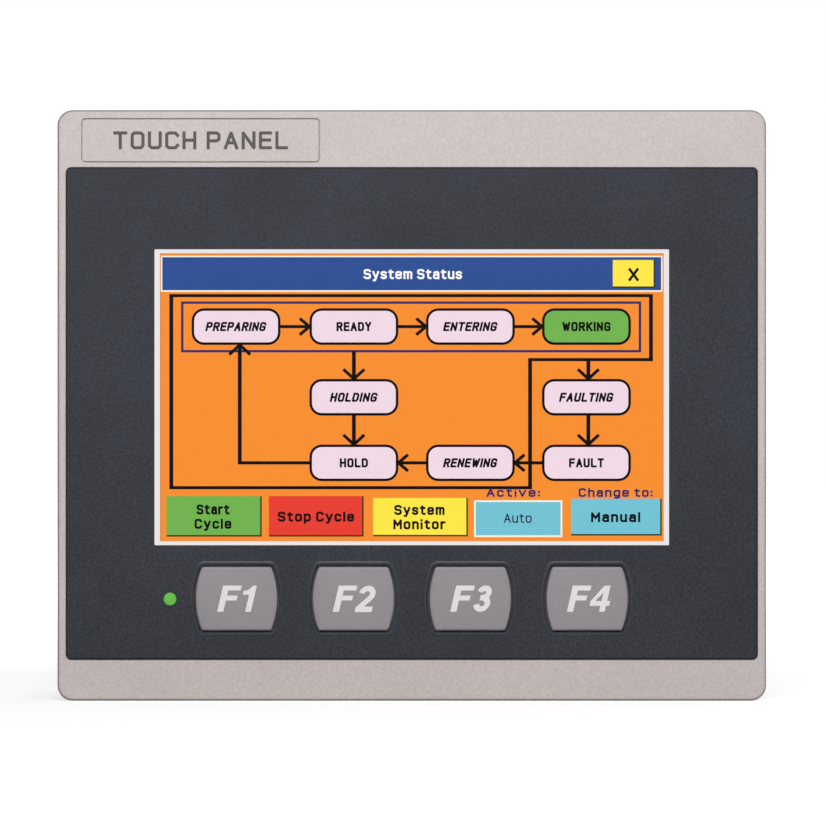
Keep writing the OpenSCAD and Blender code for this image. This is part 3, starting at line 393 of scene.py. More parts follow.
# Each letter is its strokes' points on a grid: capitals are 9 high and small letters 6.8.
# The gap between letters and the space between words are on the same grid.
CAPITAL = 9
LETTER_GAP = 1.1
SPACE = 3.2
LETTERS = {
    "A": "0,0 2.6,9 5.2,0 / 1,3 4.2,3",
    "C": "5,7.5 4,9 1,9 0,8 0,1 1,0 4,0 5,1.5",
    "D": "3.4,9 0,9 0,0 3.4,0 5,1.6 5,7.4 3.4,9",
    "E": "4.6,9 0,9 0,0 4.6,0 / 0,4.7 4.2,4.7",
    "F": "4.6,9 0,9 0,0 / 0,4.7 4,4.7",
    "G": "5,7.5 4,9 1,9 0,8 0,1 1,0 4,0 5,1 5,4.2 3,4.2",
    "H": "0,0 0,9 / 5,0 5,9 / 0,4.6 5,4.6",
    "I": "0,0 0,9",
    "K": "0,0 0,9 / 5,9 0,3.8 / 1.4,5.2 5,0",
    "L": "0,9 0,0 4.4,0",
    "M": "0,0 0,9 3,3.4 6,9 6,0",
    "N": "0,0 0,9 5,0 5,9",
    "O": "2.5,0 1,0 0,1.2 0,7.8 1,9 4,9 5,7.8 5,1.2 4,0 2.5,0",
    "P": "0,0 0,9 4,9 5,8 5,5.2 4,4.2 0,4.2",
    "R": "0,0 0,9 4,9 5,8 5,5.4 4,4.4 0,4.4 / 2.6,4.4 5,0",
    "S": "5,7.8 4,9 1,9 0,8 0,5.8 1,4.8 4,4.4 5,3.4 5,1 4,0 1,0 0,1.2",
    "T": "0,9 5,9 / 2.5,9 2.5,0",
    "U": "0,9 0,1.2 1,0 4,0 5,1.2 5,9",
    "W": "0,9 1.7,0 3.4,7.5 5.1,0 6.8,9",
    "X": "0,0 5,9 / 0,9 5,0",
    "Y": "0,9 2.5,4.4 5,9 / 2.5,4.4 2.5,0",
    "a": "0.4,6 1.2,6.8 3.4,6.8 4.2,6 4.2,0 / 4.2,4 1,4 0,3 0,0.9 1,0 3.2,0 4.2,1",
    "c": "4.2,5.6 3.4,6.8 1,6.8 0,5.8 0,1 1,0 3.4,0 4.2,1.2",
    "e": "0,3.5 4.4,3.5 4.4,5.8 3.4,6.8 1,6.8 0,5.8 0,1 1,0 3.4,0 4.3,0.9",
    "g": "4.4,6.8 4.4,-1.4 3.4,-2.4 0.8,-2.4 / 4.4,1.2 3.4,0.2 1,0.2 0,1.2 0,5.8 1,6.8 3.4,6.8 4.4,5.8",
    "h": "0,0 0,9 / 0,5.6 1.2,6.8 3.2,6.8 4.2,5.8 4.2,0",
    "i": "0,0 0,5.4 / 0,9 0,9.1",
    "l": "0,0 0,9",
    "m": "0,0 0,6.8 / 0,5.8 1,6.8 2.4,6.8 3.2,6 3.2,0 / 3.2,5.8 4.2,6.8 5.6,6.8 6.4,6 6.4,0",
    "n": "0,0 0,6.8 / 0,5.6 1.2,6.8 3.2,6.8 4.2,5.8 4.2,0",
    "o": "2.2,0 1,0 0,1 0,5.8 1,6.8 3.4,6.8 4.4,5.8 4.4,1 3.4,0 2.2,0",
    "p": "0,-2.6 0,6.8 / 0,1 1,0 3.4,0 4.4,1 4.4,5.8 3.4,6.8 1,6.8 0,5.8",
    "r": "0,0 0,6.8 / 0,4.8 1.2,6.8 2.8,6.8",
    "s": "4,5.8 3,6.8 1,6.8 0,6 0,4.5 1,3.7 3,3.2 4,2.4 4,0.9 3,0 1,0 0,0.9",
    "t": "1.2,8.4 1.2,1 2.1,0 3.4,0 / 0,6.8 3.2,6.8",
    "u": "0,6.8 0,1 1,0 3,0 4.2,1.2 / 4.2,6.8 4.2,0",
    "v": "0,6.8 2.3,0 4.6,6.8",
    "y": "0,6.8 2.3,0.4 / 4.6,6.8 1.6,-2.4 0.4,-2.4",
    ":": "0,0.7 0,1 / 0,5.4 0,5.7",
}


def letter_strokes(letter):
    """The letter's strokes, each a list of points."""
    return [[tuple(map(float, point.split(","))) for point in stroke.split()]
            for stroke in LETTERS[letter].split("/")]


# Weight of the curved numbers' strokes
DIGIT_WEIGHT = 1.08


def digit_outlines(digit):
    """Outlines that together make one of the keys' numbers, 3.5 wide and 5.1 high."""
    if digit == 1:
        return [[(1.3, 0), (2.4, 0), (2.4, 5.1), (1.65, 5.1), (1.2, 4.45), (0.65, 4.15),
                 (0.08, 4.1), (0.08, 3.35), (1.3, 3.35)]]
    if digit == 4:
        return [[(2.1, 0), (3.2, 0), (3.2, 5.1), (2.1, 5.1)],
                [(0, 1.15), (3.8, 1.15), (3.8, 2.1), (0, 2.1)],
                [(0, 2.1), (0.95, 2.1), (2.1, 3.75), (2.1, 5.1), (2.0, 5.1)]]
    if digit == 2:
        bow = arc_points(1.72, 3.45, 1.1, math.radians(172), math.radians(-38), 16)
        lines = [bow + [(0.75, 0.75)], [(0.1, 0.48), (3.4, 0.48)]]
    else:
        lines = [arc_points(1.65, 3.7, 0.88, math.radians(168), math.radians(-90), 16),
                 arc_points(1.65, 1.6, 1.06, math.radians(90), math.radians(-172), 18),
                 [(1.05, 2.74), (1.75, 2.74)]]
    sides = [stroke(line, DIGIT_WEIGHT) for line in lines]
    return [left + right[::-1] for left, right in sides]


# ---- Shapes in X and Z, and solids made from them ----


def rounded_box(x, z, w, h, r, steps=6):
    """Points round a rectangle with round corners, about (x, z)."""
    points = []
    for corner, (sx, sz) in enumerate([(1, 1), (-1, 1), (-1, -1), (1, -1)]):
        for i in range(steps + 1):
            a = math.pi / 2 * (corner + i / steps)
            points.append((x + sx * (w / 2 - r) + r * math.cos(a),
                           z + sz * (h / 2 - r) + r * math.sin(a)))
    return points


def rectangle(x0, x1, z0, z1):
    """Corners of a rectangle between two heights and two sides."""
    return [(x0, z0), (x1, z0), (x1, z1), (x0, z1)]


# Steps round a key's bulging side and round its corner, and the least radius of a shrunk corner
KEY_SIDE_STEPS = 20
KEY_CORNER_STEPS = 6
KEY_LEAST_CORNER_R = 0.3


def key_outline(x, z, grow):
    """Points round a key grown by grow: flat top and bottom, bulging sides, round corners."""
    half_w = KEY_W / 2 + grow
    half_h = KEY_H / 2 + grow
    side_r = KEY_SIDE_R + grow
    corner_r = max(KEY_CORNER_R + grow, KEY_LEAST_CORNER_R)
    side_c = half_w - side_r
    corner_z = half_h - corner_r
    corner_x = side_c + math.sqrt((side_r - corner_r) ** 2 - corner_z ** 2)
    bend = math.atan2(corner_z, corner_x - side_c)
    right = arc_points(side_c, 0, side_r, -bend, bend, KEY_SIDE_STEPS)
    right += arc_points(corner_x, corner_z, corner_r, bend, math.pi / 2, KEY_CORNER_STEPS)
    below = [(px, -pz) for px, pz in reversed(right[KEY_SIDE_STEPS + 1:])]
    right = below + right
    left = [(-px, pz) for px, pz in reversed(right)]
    return [(x + px, z + pz) for px, pz in right + left]


def arc_points(x, z, r, start, end, steps):
    """Points along an arc about (x, z), from one angle to the other."""
    turn = (end - start) / steps
    return [(x + r * math.cos(start + turn * i), z + r * math.sin(start + turn * i))
            for i in range(steps + 1)]


# Points round a pen's round corner
PEN_STEPS = 10
# Outline points closer than this are joined, in millimetres
JOIN_DISTANCE = 0.0005


def stroke(points, width, closed=False):
    """The two sides of a line of even width along the points, with mitred corners."""
    count = len(points)
    sides = ([], [])
    for i, point in enumerate(points):
        here = Vector(point)
        before = Vector(points[i - 1]) if closed or i > 0 else None
        after = Vector(points[(i + 1) % count]) if closed or i < count - 1 else None
        into = (here - before).normalized() if before else (after - here).normalized()
        out = (after - here).normalized() if after else into
        normal = Vector((-(into.y + out.y), into.x + out.x)).normalized()
        reach = width / 2 / normal.dot(Vector((-into.y, into.x)))
        sides[0].append(tuple(here + normal * reach))
        sides[1].append(tuple(here - normal * reach))
    return sides


def inside(x, z, outline):
    """Whether the point (x, z) lies within the outline."""
    within = False
    for (x0, z0), (x1, z1) in zip(outline, outline[1:] + outline[:1]):
        if (z0 > z) != (z1 > z) and x < x0 + (x1 - x0) * (z - z0) / (z1 - z0):
            within = not within
    return within


def pen(path, weight):
    """Outlines that together make a line with round corners and square ends."""
    ends = [Vector(point) for point in path]
    if path[0] != path[-1]:
        ends[0] += (ends[0] - ends[1]).normalized() * weight / 2
        ends[-1] += (ends[-1] - ends[-2]).normalized() * weight / 2
    outlines = []
    for first, second in zip(ends, ends[1:]):
        left, right = stroke([tuple(first), tuple(second)], weight)
        outlines.append(left + right[::-1])
    corners = path[1:] if path[0] == path[-1] else path[1:-1]
    for px, pz in corners:
        outlines.append(arc_points(px, pz, weight / 2, 0, 2 * math.pi, PEN_STEPS)[:-1])
    return outlines


class Solid:
    """Closed prisms and rings gathered in one mesh."""

    def __init__(self):
        self.mesh = bmesh.new()

    def vertices(self, outline, y):
        """New vertices along the outline, at depth y."""
        return [self.mesh.verts.new((x, y, z)) for x, z in outline]

    def wall(self, first, second):
        """Quads between two loops with as many points."""
        for i in range(len(first)):
            j = (i + 1) % len(first)
            self.mesh.faces.new((first[i], first[j], second[j], second[i]))

    def prism(self, outline, y, thickness):
        """A plate with its face at depth y."""
        front = self.vertices(outline, y)
        back = self.vertices(outline, y + thickness)
        self.mesh.faces.new(front)
        self.mesh.faces.new(list(reversed(back)))
        self.wall(back, front)
        return self

    def ring(self, outer, inner, y, thickness):
        """A plate with its face at depth y and a hole in it."""
        loops = [self.vertices(outline, depth) for outline, depth in (
            (outer, y), (inner, y), (inner, y + thickness), (outer, y + thickness))]
        for i in range(4):
            self.wall(loops[i - 1], loops[i])
        return self

    def band(self, outlines, depths):
        """A closed band through several loops, each at its own depth, joined last to first."""
        loops = [self.vertices(outline, y) for outline, y in zip(outlines, depths)]
        for i in range(len(loops)):
            self.wall(loops[i - 1], loops[i])
        return self

    def line(self, points, width, y, thickness, closed=False, level_width=None):
        """A line along the points. Its level parts may have a width of their own."""
        flatten = (level_width or width) / width
        sides = stroke([(px, pz / flatten) for px, pz in points], width, closed)
        left, right = ([(px, pz * flatten) for px, pz in side] for side in sides)
        if closed:
            return self.ring(left, right, y, thickness)
        return self.prism(left + right[::-1], y, thickness)

    def plate(self, outlines, y, thickness):
        """One plate, with its face at depth y, covering all the outlines."""
        points, loops = [], []
        for outline in outlines:
            loops.append(list(range(len(points), len(points) + len(outline))))
            points += [Vector(point) for point in outline]
        points, _, triangles, _, _, _ = geometry.delaunay_2d_cdt(
            points, [], loops, 0, JOIN_DISTANCE)
        faces = []
        for triangle in triangles:
            centre = sum((points[i] for i in triangle), Vector((0, 0))) / 3
            if any(inside(centre.x, centre.y, outline) for outline in outlines):
                faces.append(triangle)
        front = self.vertices(points, y)
        back = self.vertices(points, y + thickness)
        edges = {(a, b) for face in faces for a, b in zip(face, face[1:] + face[:1])}
        for face in faces:
            self.mesh.faces.new([front[i] for i in face])
            self.mesh.faces.new([back[i] for i in reversed(face)])
        for a, b in edges:
            if (b, a) not in edges:
                self.mesh.faces.new((front[b], front[a], back[a], back[b]))
        return self

    def words(self, text, x, z, cap, y, thickness, weight, width, slant=0.0):
        """A line of lettering, width wide, with its capitals centred on (x, z)."""
        unit = (cap - weight) / CAPITAL
        cursor = 0
        placed = []
        for letter in text:
            if letter == " ":
                cursor += SPACE
                continue
            strokes = letter_strokes(letter)
            placed.append((cursor, strokes))
            cursor += max(px for path in strokes for px, _ in path) + LETTER_GAP + weight / unit
        total = cursor - LETTER_GAP - weight / unit
        across = (width - weight - slant * (cap - weight)) / total
        left = x - (width - weight) / 2
        base = z - (cap - weight) / 2
        outlines = []
        for start, strokes in placed:
            for path in strokes:
                outlines += pen([(left + (start + px) * across + slant * pz * unit,
                                  base + pz * unit) for px, pz in path], weight)
        return self.plate(outlines, y, thickness)

    def piece(self, name, slot, body="root", smooth=None):
        """The finished object, riding on its body. Edges sharper than smooth degrees stay sharp."""
        bmesh.ops.recalc_face_normals(self.mesh, faces=self.mesh.faces)
        self.mesh.transform(Matrix.Diagonal((MM, MM, MM, 1)))
        mesh = bpy.data.meshes.new(name)
        self.mesh.to_mesh(mesh)
        self.mesh.free()
        mesh.materials.append(MATERIALS[slot])
        if smooth:
            mesh.polygons.foreach_set("use_smooth", [True] * len(mesh.polygons))
            mesh.set_sharp_from_angle(angle=math.radians(smooth))
        obj = bpy.data.objects.new(name, mesh)
        bpy.context.scene.collection.objects.link(obj)
        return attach(obj, body)


# ---- Keys ----

# Profile of a key cap, as (growth of the outline, depth behind the key's face): the rounded rim,
# the side, the flange that holds the key behind the bezel, and the inside
RIM_R = 0.42
KEY_PROFILE = [(-RIM_R * (1 - math.sin(a)), RIM_R * (1 - math.cos(a)))
               for a in (math.pi / 2 * i / 5 for i in range(6))]
KEY_PROFILE += [(0, 3.0), (0.7, 3.0), (0.7, 3.6), (-1.6, 3.6), (-1.6, 1.2)]
# The pusher behind the cap: its width, corners, depth behind the key's face and length
PUSHER_W = 3
PUSHER_CORNER_R = 0.25
PUSHER_DEPTH = 1.1
PUSHER_LENGTH = 2.0
# The key numbers: height, slant, widths of the letter's stem, bars and arms, height of its lower
# arm, place of the digit, and half the width of each of the four
LEGEND_H = 5.1
LEGEND_SLANT = 0.23
STEM_W = 1.2
BAR_WEIGHT = 0.96
UPPER_ARM_W = 3.62
LOWER_ARM_W = 3.25
LOWER_ARM_Z = 2.2
DIGIT_X = 4.15
LEGEND_HALF_W = (3.75, 4.0, 3.9, 3.95)
# Ink stands this far in front of the face that it is printed on, and is this thick
KEY_INK_RISE = 0.02
KEY_INK_T = 0.05
# Profile of the ridge round a key, as (growth of the outline, depth behind the overlay's face,
# negative where it stands out)
RIDGE_PROFILE = [(0.56, 0.02), (0.6, -0.06), (0.68, -0.1), (0.78, -0.1), (0.92, -0.07),
                 (1.08, -0.02), (1.15, 0.02)]


def key_cap(number):
    """A hollow key with a rounded rim, its pusher, and its number printed on the face."""
    node = f"key_f{number}"
    body = f"f{number}_key"
    centre = middle(node)
    cap = Solid()
    loops = [cap.vertices(key_outline(centre.x, centre.z, grow), KEY_Y + depth)
             for grow, depth in KEY_PROFILE]
    for first, second in zip(loops, loops[1:]):
        cap.wall(first, second)
    cap.mesh.faces.new(loops[0])
    cap.mesh.faces.new(loops[-1])
    pusher = rounded_box(centre.x, centre.z, PUSHER_W, PUSHER_W, PUSHER_CORNER_R, 3)
    cap.prism(pusher, KEY_Y + PUSHER_DEPTH, PUSHER_LENGTH)
    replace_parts(cap.piece(f"function_key_{number}", "key_plastic", body, smooth=50), node)
    key_legend(number, centre).piece(f"key_number_{number}", "ink_white", body)


def key_legend(number, centre):
    """The key's letter and number, slanted: the letter as one outline, the number as strokes."""
    left = centre.x - LEGEND_HALF_W[number - 1]
    base = centre.z - LEGEND_H / 2
    lower_top = LOWER_ARM_Z + BAR_WEIGHT
    upper_foot = LEGEND_H - BAR_WEIGHT
    outline = [(0, 0), (STEM_W, 0), (STEM_W, LOWER_ARM_Z), (LOWER_ARM_W, LOWER_ARM_Z),
               (LOWER_ARM_W, lower_top), (STEM_W, lower_top), (STEM_W, upper_foot),
               (UPPER_ARM_W, upper_foot), (UPPER_ARM_W, LEGEND_H), (0, LEGEND_H)]
    outlines = [outline] + [[(DIGIT_X + px, pz) for px, pz in part]
                            for part in digit_outlines(number)]
    slanted = [[(left + px + LEGEND_SLANT * pz, base + pz) for px, pz in part]
               for part in outlines]
    return Solid().plate(slanted, KEY_Y - KEY_INK_RISE, KEY_INK_T)


def key_surrounds():
    """The low embossed ridge of the overlay round each key opening."""
    for number in range(1, 5):
        centre = middle(f"key_f{number}")
        Solid().band([key_outline(centre.x, centre.z, grow) for grow, _ in RIDGE_PROFILE],
                     [OVERLAY_Y + depth for _, depth in RIDGE_PROFILE]
                     ).piece(f"key_surround_{number}", "overlay_crest", smooth=60)


# ---- The picture on the screen ----

# Places on the picture are given as (u, v), to the right of and below its top left corner.
# The boxes of the machine's states: width, height, their columns and their rows
STATE_W = 17.35
STATE_H = 7.15
STATE_U = (14.8, 37.8, 60.55, 83.2)
STATE_V = (14.3, 28.1, 40.9)
# The arrows down to the two fault states stand a little to the right of the boxes' middle
FAULT_U = STATE_U[3] + 0.37
# Column, row, word and whether it is slanted
STATES = [
    (0, 0, "PREPARING", True), (1, 0, "READY", False), (2, 0, "ENTERING", True),
    (3, 0, "WORKING", False), (1, 1, "HOLDING", True), (3, 1, "FAULTING", True),
    (1, 2, "HOLD", False), (2, 2, "RENEWING", True), (3, 2, "FAULT", False),
]
LIT_STATE = (3, 0)
# Widths of the lines that stand upright, lie level and make the arrows' heads
UPRIGHT_W = 0.76
LEVEL_W = 0.62
HEAD_W = 0.62
STATE_RIM_W = 0.5
STATE_CORNER_R = 2.4
# Length of an arrow's head, and half its width on a level and on an upright arrow
HEAD_LENGTH = 1.9
LEVEL_HEAD_HALF_W = 1.6
UPRIGHT_HEAD_HALF_W = 2.05
# The frame round the diagram, the group round its upper row, and the arrow back to the first box
DIAGRAM_FRAME = [(2.15, 8.25), (95.8, 8.25), (95.8, 20.75), (72.2, 20.75), (72.2, 45.75),
                 (2.15, 45.75)]
GROUP = [(4.3, 9.62), (93.65, 9.62), (93.65, 19.1), (4.3, 19.1)]
GROUP_W = 0.46
RETURN_U = 15.52
# Where the arrows that leave the group and the frame start
GROUP_FOOT_V = 19.05
FRAME_FOOT_V = 20.7
# An area is a little thicker than the step between two layers, so that nothing shows behind it
AREA_T = LAYER_T * 1.3
# Height of the capitals and weight of the strokes, on buttons, in boxes and in captions
BUTTON_CAP = 1.95
BUTTON_WEIGHT = 0.43
BOX_CAP = 1.8
BOX_WEIGHT = 0.41
BOX_SLANT = 0.23
CAPTION_CAP = 1.7
CAPTION_WEIGHT = 0.36
CAPTION_V = 46.7
# Width of a word in a box: so much for each letter, and a little more
BOX_LETTER_W = 1.3
BOX_WORD_EXTRA = 0.3
# Width of the dark edge at a button's right and foot
BUTTON_EDGE = 0.3
# The window's pale border: its room to the window's edge, how far it laps over the picture, and
# its thickness
BORDER_ROOM = 0.03
BORDER_LAP = 0.05
BORDER_T = 0.03


def at(u, v):
    """X and Z of a place given to the right of and below the picture's top left corner."""
    return PICTURE_LEFT + u, PICTURE_TOP - v


def area(u0, u1, v0, v1):
    """Corners of an upright rectangle on the picture."""
    x0, z1 = at(u0, v0)
    x1, z0 = at(u1, v1)
    return rectangle(x0, x1, z0, z1)


def layer_y(level):
    """Depth of the face of one of the picture's printed layers."""
    return CELL_Y - LAYER_T * (level + 1)


def draw_layer(solid, outline, level):
    """One flat area in one of the picture's layers."""
    return solid.prism(outline, layer_y(level), AREA_T)


def draw_words(solid, text, u, v, level, cap, weight, width, slant=0.0):
    """A line of lettering on the picture, centred on (u, v)."""
    x, z = at(u, v)
    return solid.words(text, x, z, cap, layer_y(level), LAYER_T, weight, width, slant)


def arrow(solid, points, level):
    """A line through the points with an open head at its last point."""
    path = [at(u, v) for u, v in points]
    solid.line(path, UPRIGHT_W, layer_y(level), LAYER_T, level_width=LEVEL_W)
    tip = Vector(path[-1])
    back = (Vector(path[-2]) - tip).normalized()
    side = Vector((-back.y, back.x))
    half_w = LEVEL_HEAD_HALF_W if abs(back.x) > 0.5 else UPRIGHT_HEAD_HALF_W
    back *= HEAD_LENGTH
    side *= half_w
    solid.line([tuple(tip + back + side), tuple(tip), tuple(tip + back - side)],
               HEAD_W, layer_y(level) - LAYER_T / 4, LAYER_T)


def picture_ground():
    """The picture's orange ground, and the pale border of the window on the touch sensor."""
    draw_layer(Solid(), area(0, PICTURE_W, 0, PICTURE_H), 0).piece(
        "picture_ground", "screen_orange")
    border = Solid()
    half_w = WINDOW_W / 2 - BORDER_ROOM
    half_h = WINDOW_H / 2 - BORDER_ROOM
    border.ring(rectangle(-half_w, half_w, WINDOW_Z - half_h, WINDOW_Z + half_h),
                area(BORDER_LAP, PICTURE_W - BORDER_LAP, BORDER_LAP, PICTURE_H - BORDER_LAP),
                GLASS_Y - BORDER_T, BORDER_T)
    border.piece("window_border", "screen_white")


def picture_header():
    """Title bar and close button."""
    draw_layer(Solid(), area(0.1, 98.05, 0.45, 7.5), 1).piece("header_outline", "screen_cream")
    draw_layer(Solid(), area(0.4, 97.78, 0.75, 7.2), 2).piece("header_bar", "screen_blue")
    draw_words(Solid(), "System Status", 49.3, 4.05, 3, BUTTON_CAP, 0.37, 19.2).piece(
        "header_title", "screen_bright")
    shaded_button("close_button", "screen_yellow", 88.35, 96.6, 1.3, 6.75, 3)
    draw_words(Solid(), "X", 92.4, 4.15, 6, 2.5, 0.52, 2.0).piece("close_mark", "screen_black")


def shaded_button(name, slot, u0, u1, v0, v1, level):
    """A button drawn with a dark edge at its right and its foot."""
    draw_layer(Solid(), area(u0, u1, v0, v1), level).piece(name + "_shade", "screen_olive")
    draw_layer(Solid(), area(u0, u1 - BUTTON_EDGE, v0, v1 - BUTTON_EDGE), level + 1).piece(
        name, slot)


def picture_diagram():
    """Boxes for the machine's states, and the arrows between them."""
    frame_lines = Solid()
    frame_lines.line([at(u, v) for u, v in DIAGRAM_FRAME], UPRIGHT_W, layer_y(1), AREA_T,
                     closed=True, level_width=LEVEL_W)
    # From a box's middle to its left, right, upper and lower side
    left, right = -STATE_W / 2, STATE_W / 2
    above, below = -STATE_H / 2, STATE_H / 2
    for start, end in zip(STATE_U, STATE_U[1:]):
        arrow(frame_lines, [(start + right, STATE_V[0]), (end + left, STATE_V[0])], 3)
    for u, foot_v in ((STATE_U[1], GROUP_FOOT_V), (FAULT_U, FRAME_FOOT_V)):
        arrow(frame_lines, [(u, foot_v), (u, STATE_V[1] + above)], 3)
        arrow(frame_lines, [(u, STATE_V[1] + below), (u, STATE_V[2] + above)], 3)
    for start, end in ((3, 2), (2, 1)):
        arrow(frame_lines, [(STATE_U[start] + left, STATE_V[2]),
                            (STATE_U[end] + right, STATE_V[2])], 3)
    arrow(frame_lines, [(STATE_U[1] + left, STATE_V[2]), (RETURN_U, STATE_V[2]),
                        (RETURN_U, STATE_V[0] + below)], 3)
    frame_lines.piece("diagram_lines", "screen_black")

    Solid().line([at(u, v) for u, v in GROUP], GROUP_W, layer_y(2), AREA_T, closed=True).piece(
        "diagram_group", "screen_purple")

    rims, fills, lit, words = Solid(), Solid(), Solid(), Solid()
    for column, row, word, slanted in STATES:
        x, z = at(STATE_U[column], STATE_V[row])
        draw_layer(rims, rounded_box(x, z, STATE_W, STATE_H, STATE_CORNER_R), 4)
        fill = lit if (column, row) == LIT_STATE else fills
        draw_layer(fill, rounded_box(x, z, STATE_W - 2 * STATE_RIM_W, STATE_H - 2 * STATE_RIM_W,
                                     STATE_CORNER_R - STATE_RIM_W), 5)
        draw_words(words, word, STATE_U[column], STATE_V[row], 6, BOX_CAP, BOX_WEIGHT,
                   BOX_LETTER_W * len(word) + BOX_WORD_EXTRA, BOX_SLANT if slanted else 0)
    rims.piece("state_outlines", "screen_black")
    fills.piece("state_boxes", "screen_pink")
    lit.piece("state_box_lit", "screen_green")
    words.piece("state_words", "screen_black")


def picture_buttons():
    """The row of buttons under the diagram."""
    shaded_button("start_button", "screen_green", 1.2, 19.8, 47.4, 55.3, 1)
    shaded_button("stop_button", "screen_red", 21.2, 39.7, 47.4, 55.3, 1)
    shaded_button("monitor_button", "screen_yellow", 41.55, 60.05, 47.75, 55.26, 1)
    shaded_button("change_button", "screen_cyan", 80.2, 97.9, 47.9, 55.1, 1)
    draw_layer(Solid(), area(61.25, 78.5, 48.2, 55.4), 1).piece("mode_outline", "screen_cream")
    draw_layer(Solid(), area(61.6, 78.15, 48.55, 55.05), 2).piece("mode_display", "screen_cyan")
    words = Solid()
    for text, u, v, width in (
            ("Start", 10.3, 50.0, 6.4), ("Cycle", 10.3, 52.8, 7.2), ("Stop Cycle", 30.4, 51.4, 14.9),
            ("System", 50.6, 50.1, 9.8), ("Monitor", 50.6, 52.9, 10.2), ("Manual", 88.9, 51.5, 9.6)):
        draw_words(words, text, u, v, 4, BUTTON_CAP, BUTTON_WEIGHT, width)
    draw_words(words, "Auto", 69.8, 51.7, 4, BOX_CAP, 0.24, 5.4)
    words.piece("button_words", "screen_black")
    captions = Solid()
    for text, u, width in (("Active:", 68.9, 10.4), ("Change to:", 88.9, 14.4)):
        draw_words(captions, text, u, CAPTION_V, 4, CAPTION_CAP, CAPTION_WEIGHT, width)
    captions.piece("button_captions", "screen_purple")


# ---- Small details ----


# The status light's dome: radius, how far it stands out and reaches back from the overlay's
# face, steps up it and points round it
LENS_R = 1.18
LENS_RISE = 0.22
LENS_SUNK = 0.1
LENS_STEPS = 6
LENS_POINTS = 32


def status_lens():
    """Domed end of the light pipe, standing a little in front of the overlay."""
    centre = middle("status_light_pipe")
    lens = Solid()

    def loop(radius, y):
        """Vertices round the lens's axis, at depth y."""
        ring = arc_points(centre.x, centre.z, radius, 0, 2 * math.pi, LENS_POINTS)
        return lens.vertices(ring[:-1], y)

    angles = [math.pi / 2 * i / LENS_STEPS for i in range(LENS_STEPS)]
    loops = [loop(LENS_R * math.cos(a), OVERLAY_Y - LENS_RISE * math.sin(a)) for a in angles]
    back = loop(LENS_R, OVERLAY_Y + LENS_SUNK)
    for first, second in zip([back] + loops, loops):
        lens.wall(first, second)
    lens.mesh.faces.new(loops[-1])
    lens.mesh.faces.new(list(reversed(back)))
    lens.piece("status_lens", "light_green", smooth=50)


# Painted shade in the gap round the overlay, a dark ring that stands for the shade there: its room to
# the recess's walls and the overlay's edge, its depth behind the overlay's face, and its thickness
GAP_SHADE_ROOM = 0.01
GAP_SHADE_DEPTH = 0.28
GAP_SHADE_T = 0.2


def overlay_gap_shade():
    """Painted shade: a dark ring down in the gap round the overlay, standing for the shade that falls
    there.
    """
    overlay = middle("front_overlay")
    size = high("front_overlay") - low("front_overlay")
    grow = 2 * (OVERLAY_GAP - GAP_SHADE_ROOM)
    recess = rounded_box(overlay.x, overlay.z - OVERLAY_LIFT, size.x + grow, size.z + grow,
                         OVERLAY_CORNER_R + grow / 2)
    edge = rounded_box(overlay.x, overlay.z, size.x + 2 * GAP_SHADE_ROOM,
                       size.z + 2 * GAP_SHADE_ROOM, OVERLAY_CORNER_R)
    Solid().ring(recess, edge, OVERLAY_Y + GAP_SHADE_DEPTH, GAP_SHADE_T).piece(
        "overlay_gap_shade", "overlay_gap_shade")


# The nameplate's wording: height of its capitals, width, weight of its strokes, how far the ink
# stands in front of the plate, and its thickness
NAMEPLATE_CAP = 3.5
NAMEPLATE_WORDS_W = 34
NAMEPLATE_WEIGHT = 0.62
NAMEPLATE_INK_RISE = 0.015
NAMEPLATE_INK_T = 0.04


def nameplate_wording():
    """Plain generic wording on the nameplate."""
    plate = middle("nameplate")
    Solid().words("TOUCH PANEL", plate.x, plate.z, NAMEPLATE_CAP, BEZEL_Y - NAMEPLATE_INK_RISE,
                  NAMEPLATE_INK_T, NAMEPLATE_WEIGHT, NAMEPLATE_WORDS_W
                  ).piece("nameplate_wording", "ink_dark")


# The rating label's ruled frame: size, corners, line widths, rows and the places of its columns
RULES_W = 60
RULES_H = 32
RULES_CORNER_R = 0.8
FRAME_LINE_W = 0.3
RULE_HALF_W = 0.12
RULE_ROWS = 5
RULE_COLUMNS = (-12, 10)
# How far the rules run into the frame's line, how far the ink stands out from the label, and
# the thickness of level and upright rules
RULE_OVERLAP = 0.1
RULE_RISE = 0.02
RULE_T = 0.03
COLUMN_T = 0.025


def label_rules():
    """A ruled frame and empty fields printed on the rating label."""
    label = middle("rating_label")
    y = LABEL_Y + RULE_RISE - RULE_T
    rules = Solid()
    outer = rounded_box(label.x, label.z, RULES_W, RULES_H, RULES_CORNER_R)
    inner = rounded_box(label.x, label.z, RULES_W - 2 * FRAME_LINE_W, RULES_H - 2 * FRAME_LINE_W,
                        RULES_CORNER_R - FRAME_LINE_W)
    rules.ring(outer, inner, y, RULE_T)
    half_w = RULES_W / 2 - FRAME_LINE_W + RULE_OVERLAP
    foot = label.z - RULES_H / 2 + FRAME_LINE_W - RULE_OVERLAP
    rows = [label.z + RULES_H / 2 - row * RULES_H / RULE_ROWS for row in range(1, RULE_ROWS)]
    for z in rows:
        rules.prism(rectangle(label.x - half_w, label.x + half_w, z - RULE_HALF_W,
                              z + RULE_HALF_W), y, RULE_T)
    for x in RULE_COLUMNS:
        rules.prism(rectangle(label.x + x - RULE_HALF_W, label.x + x + RULE_HALF_W, foot,
                              rows[0]), y, COLUMN_T)
    rules.piece("label_rules", "ink_dark")


dress_cad_nodes()
for key_number in range(1, 5):
    key_cap(key_number)
key_surrounds()
picture_ground()
picture_header()
picture_diagram()
picture_buttons()
status_lens()
# Dark ring of painted shade in the gap round the overlay
overlay_gap_shade()
nameplate_wording()
label_rules()


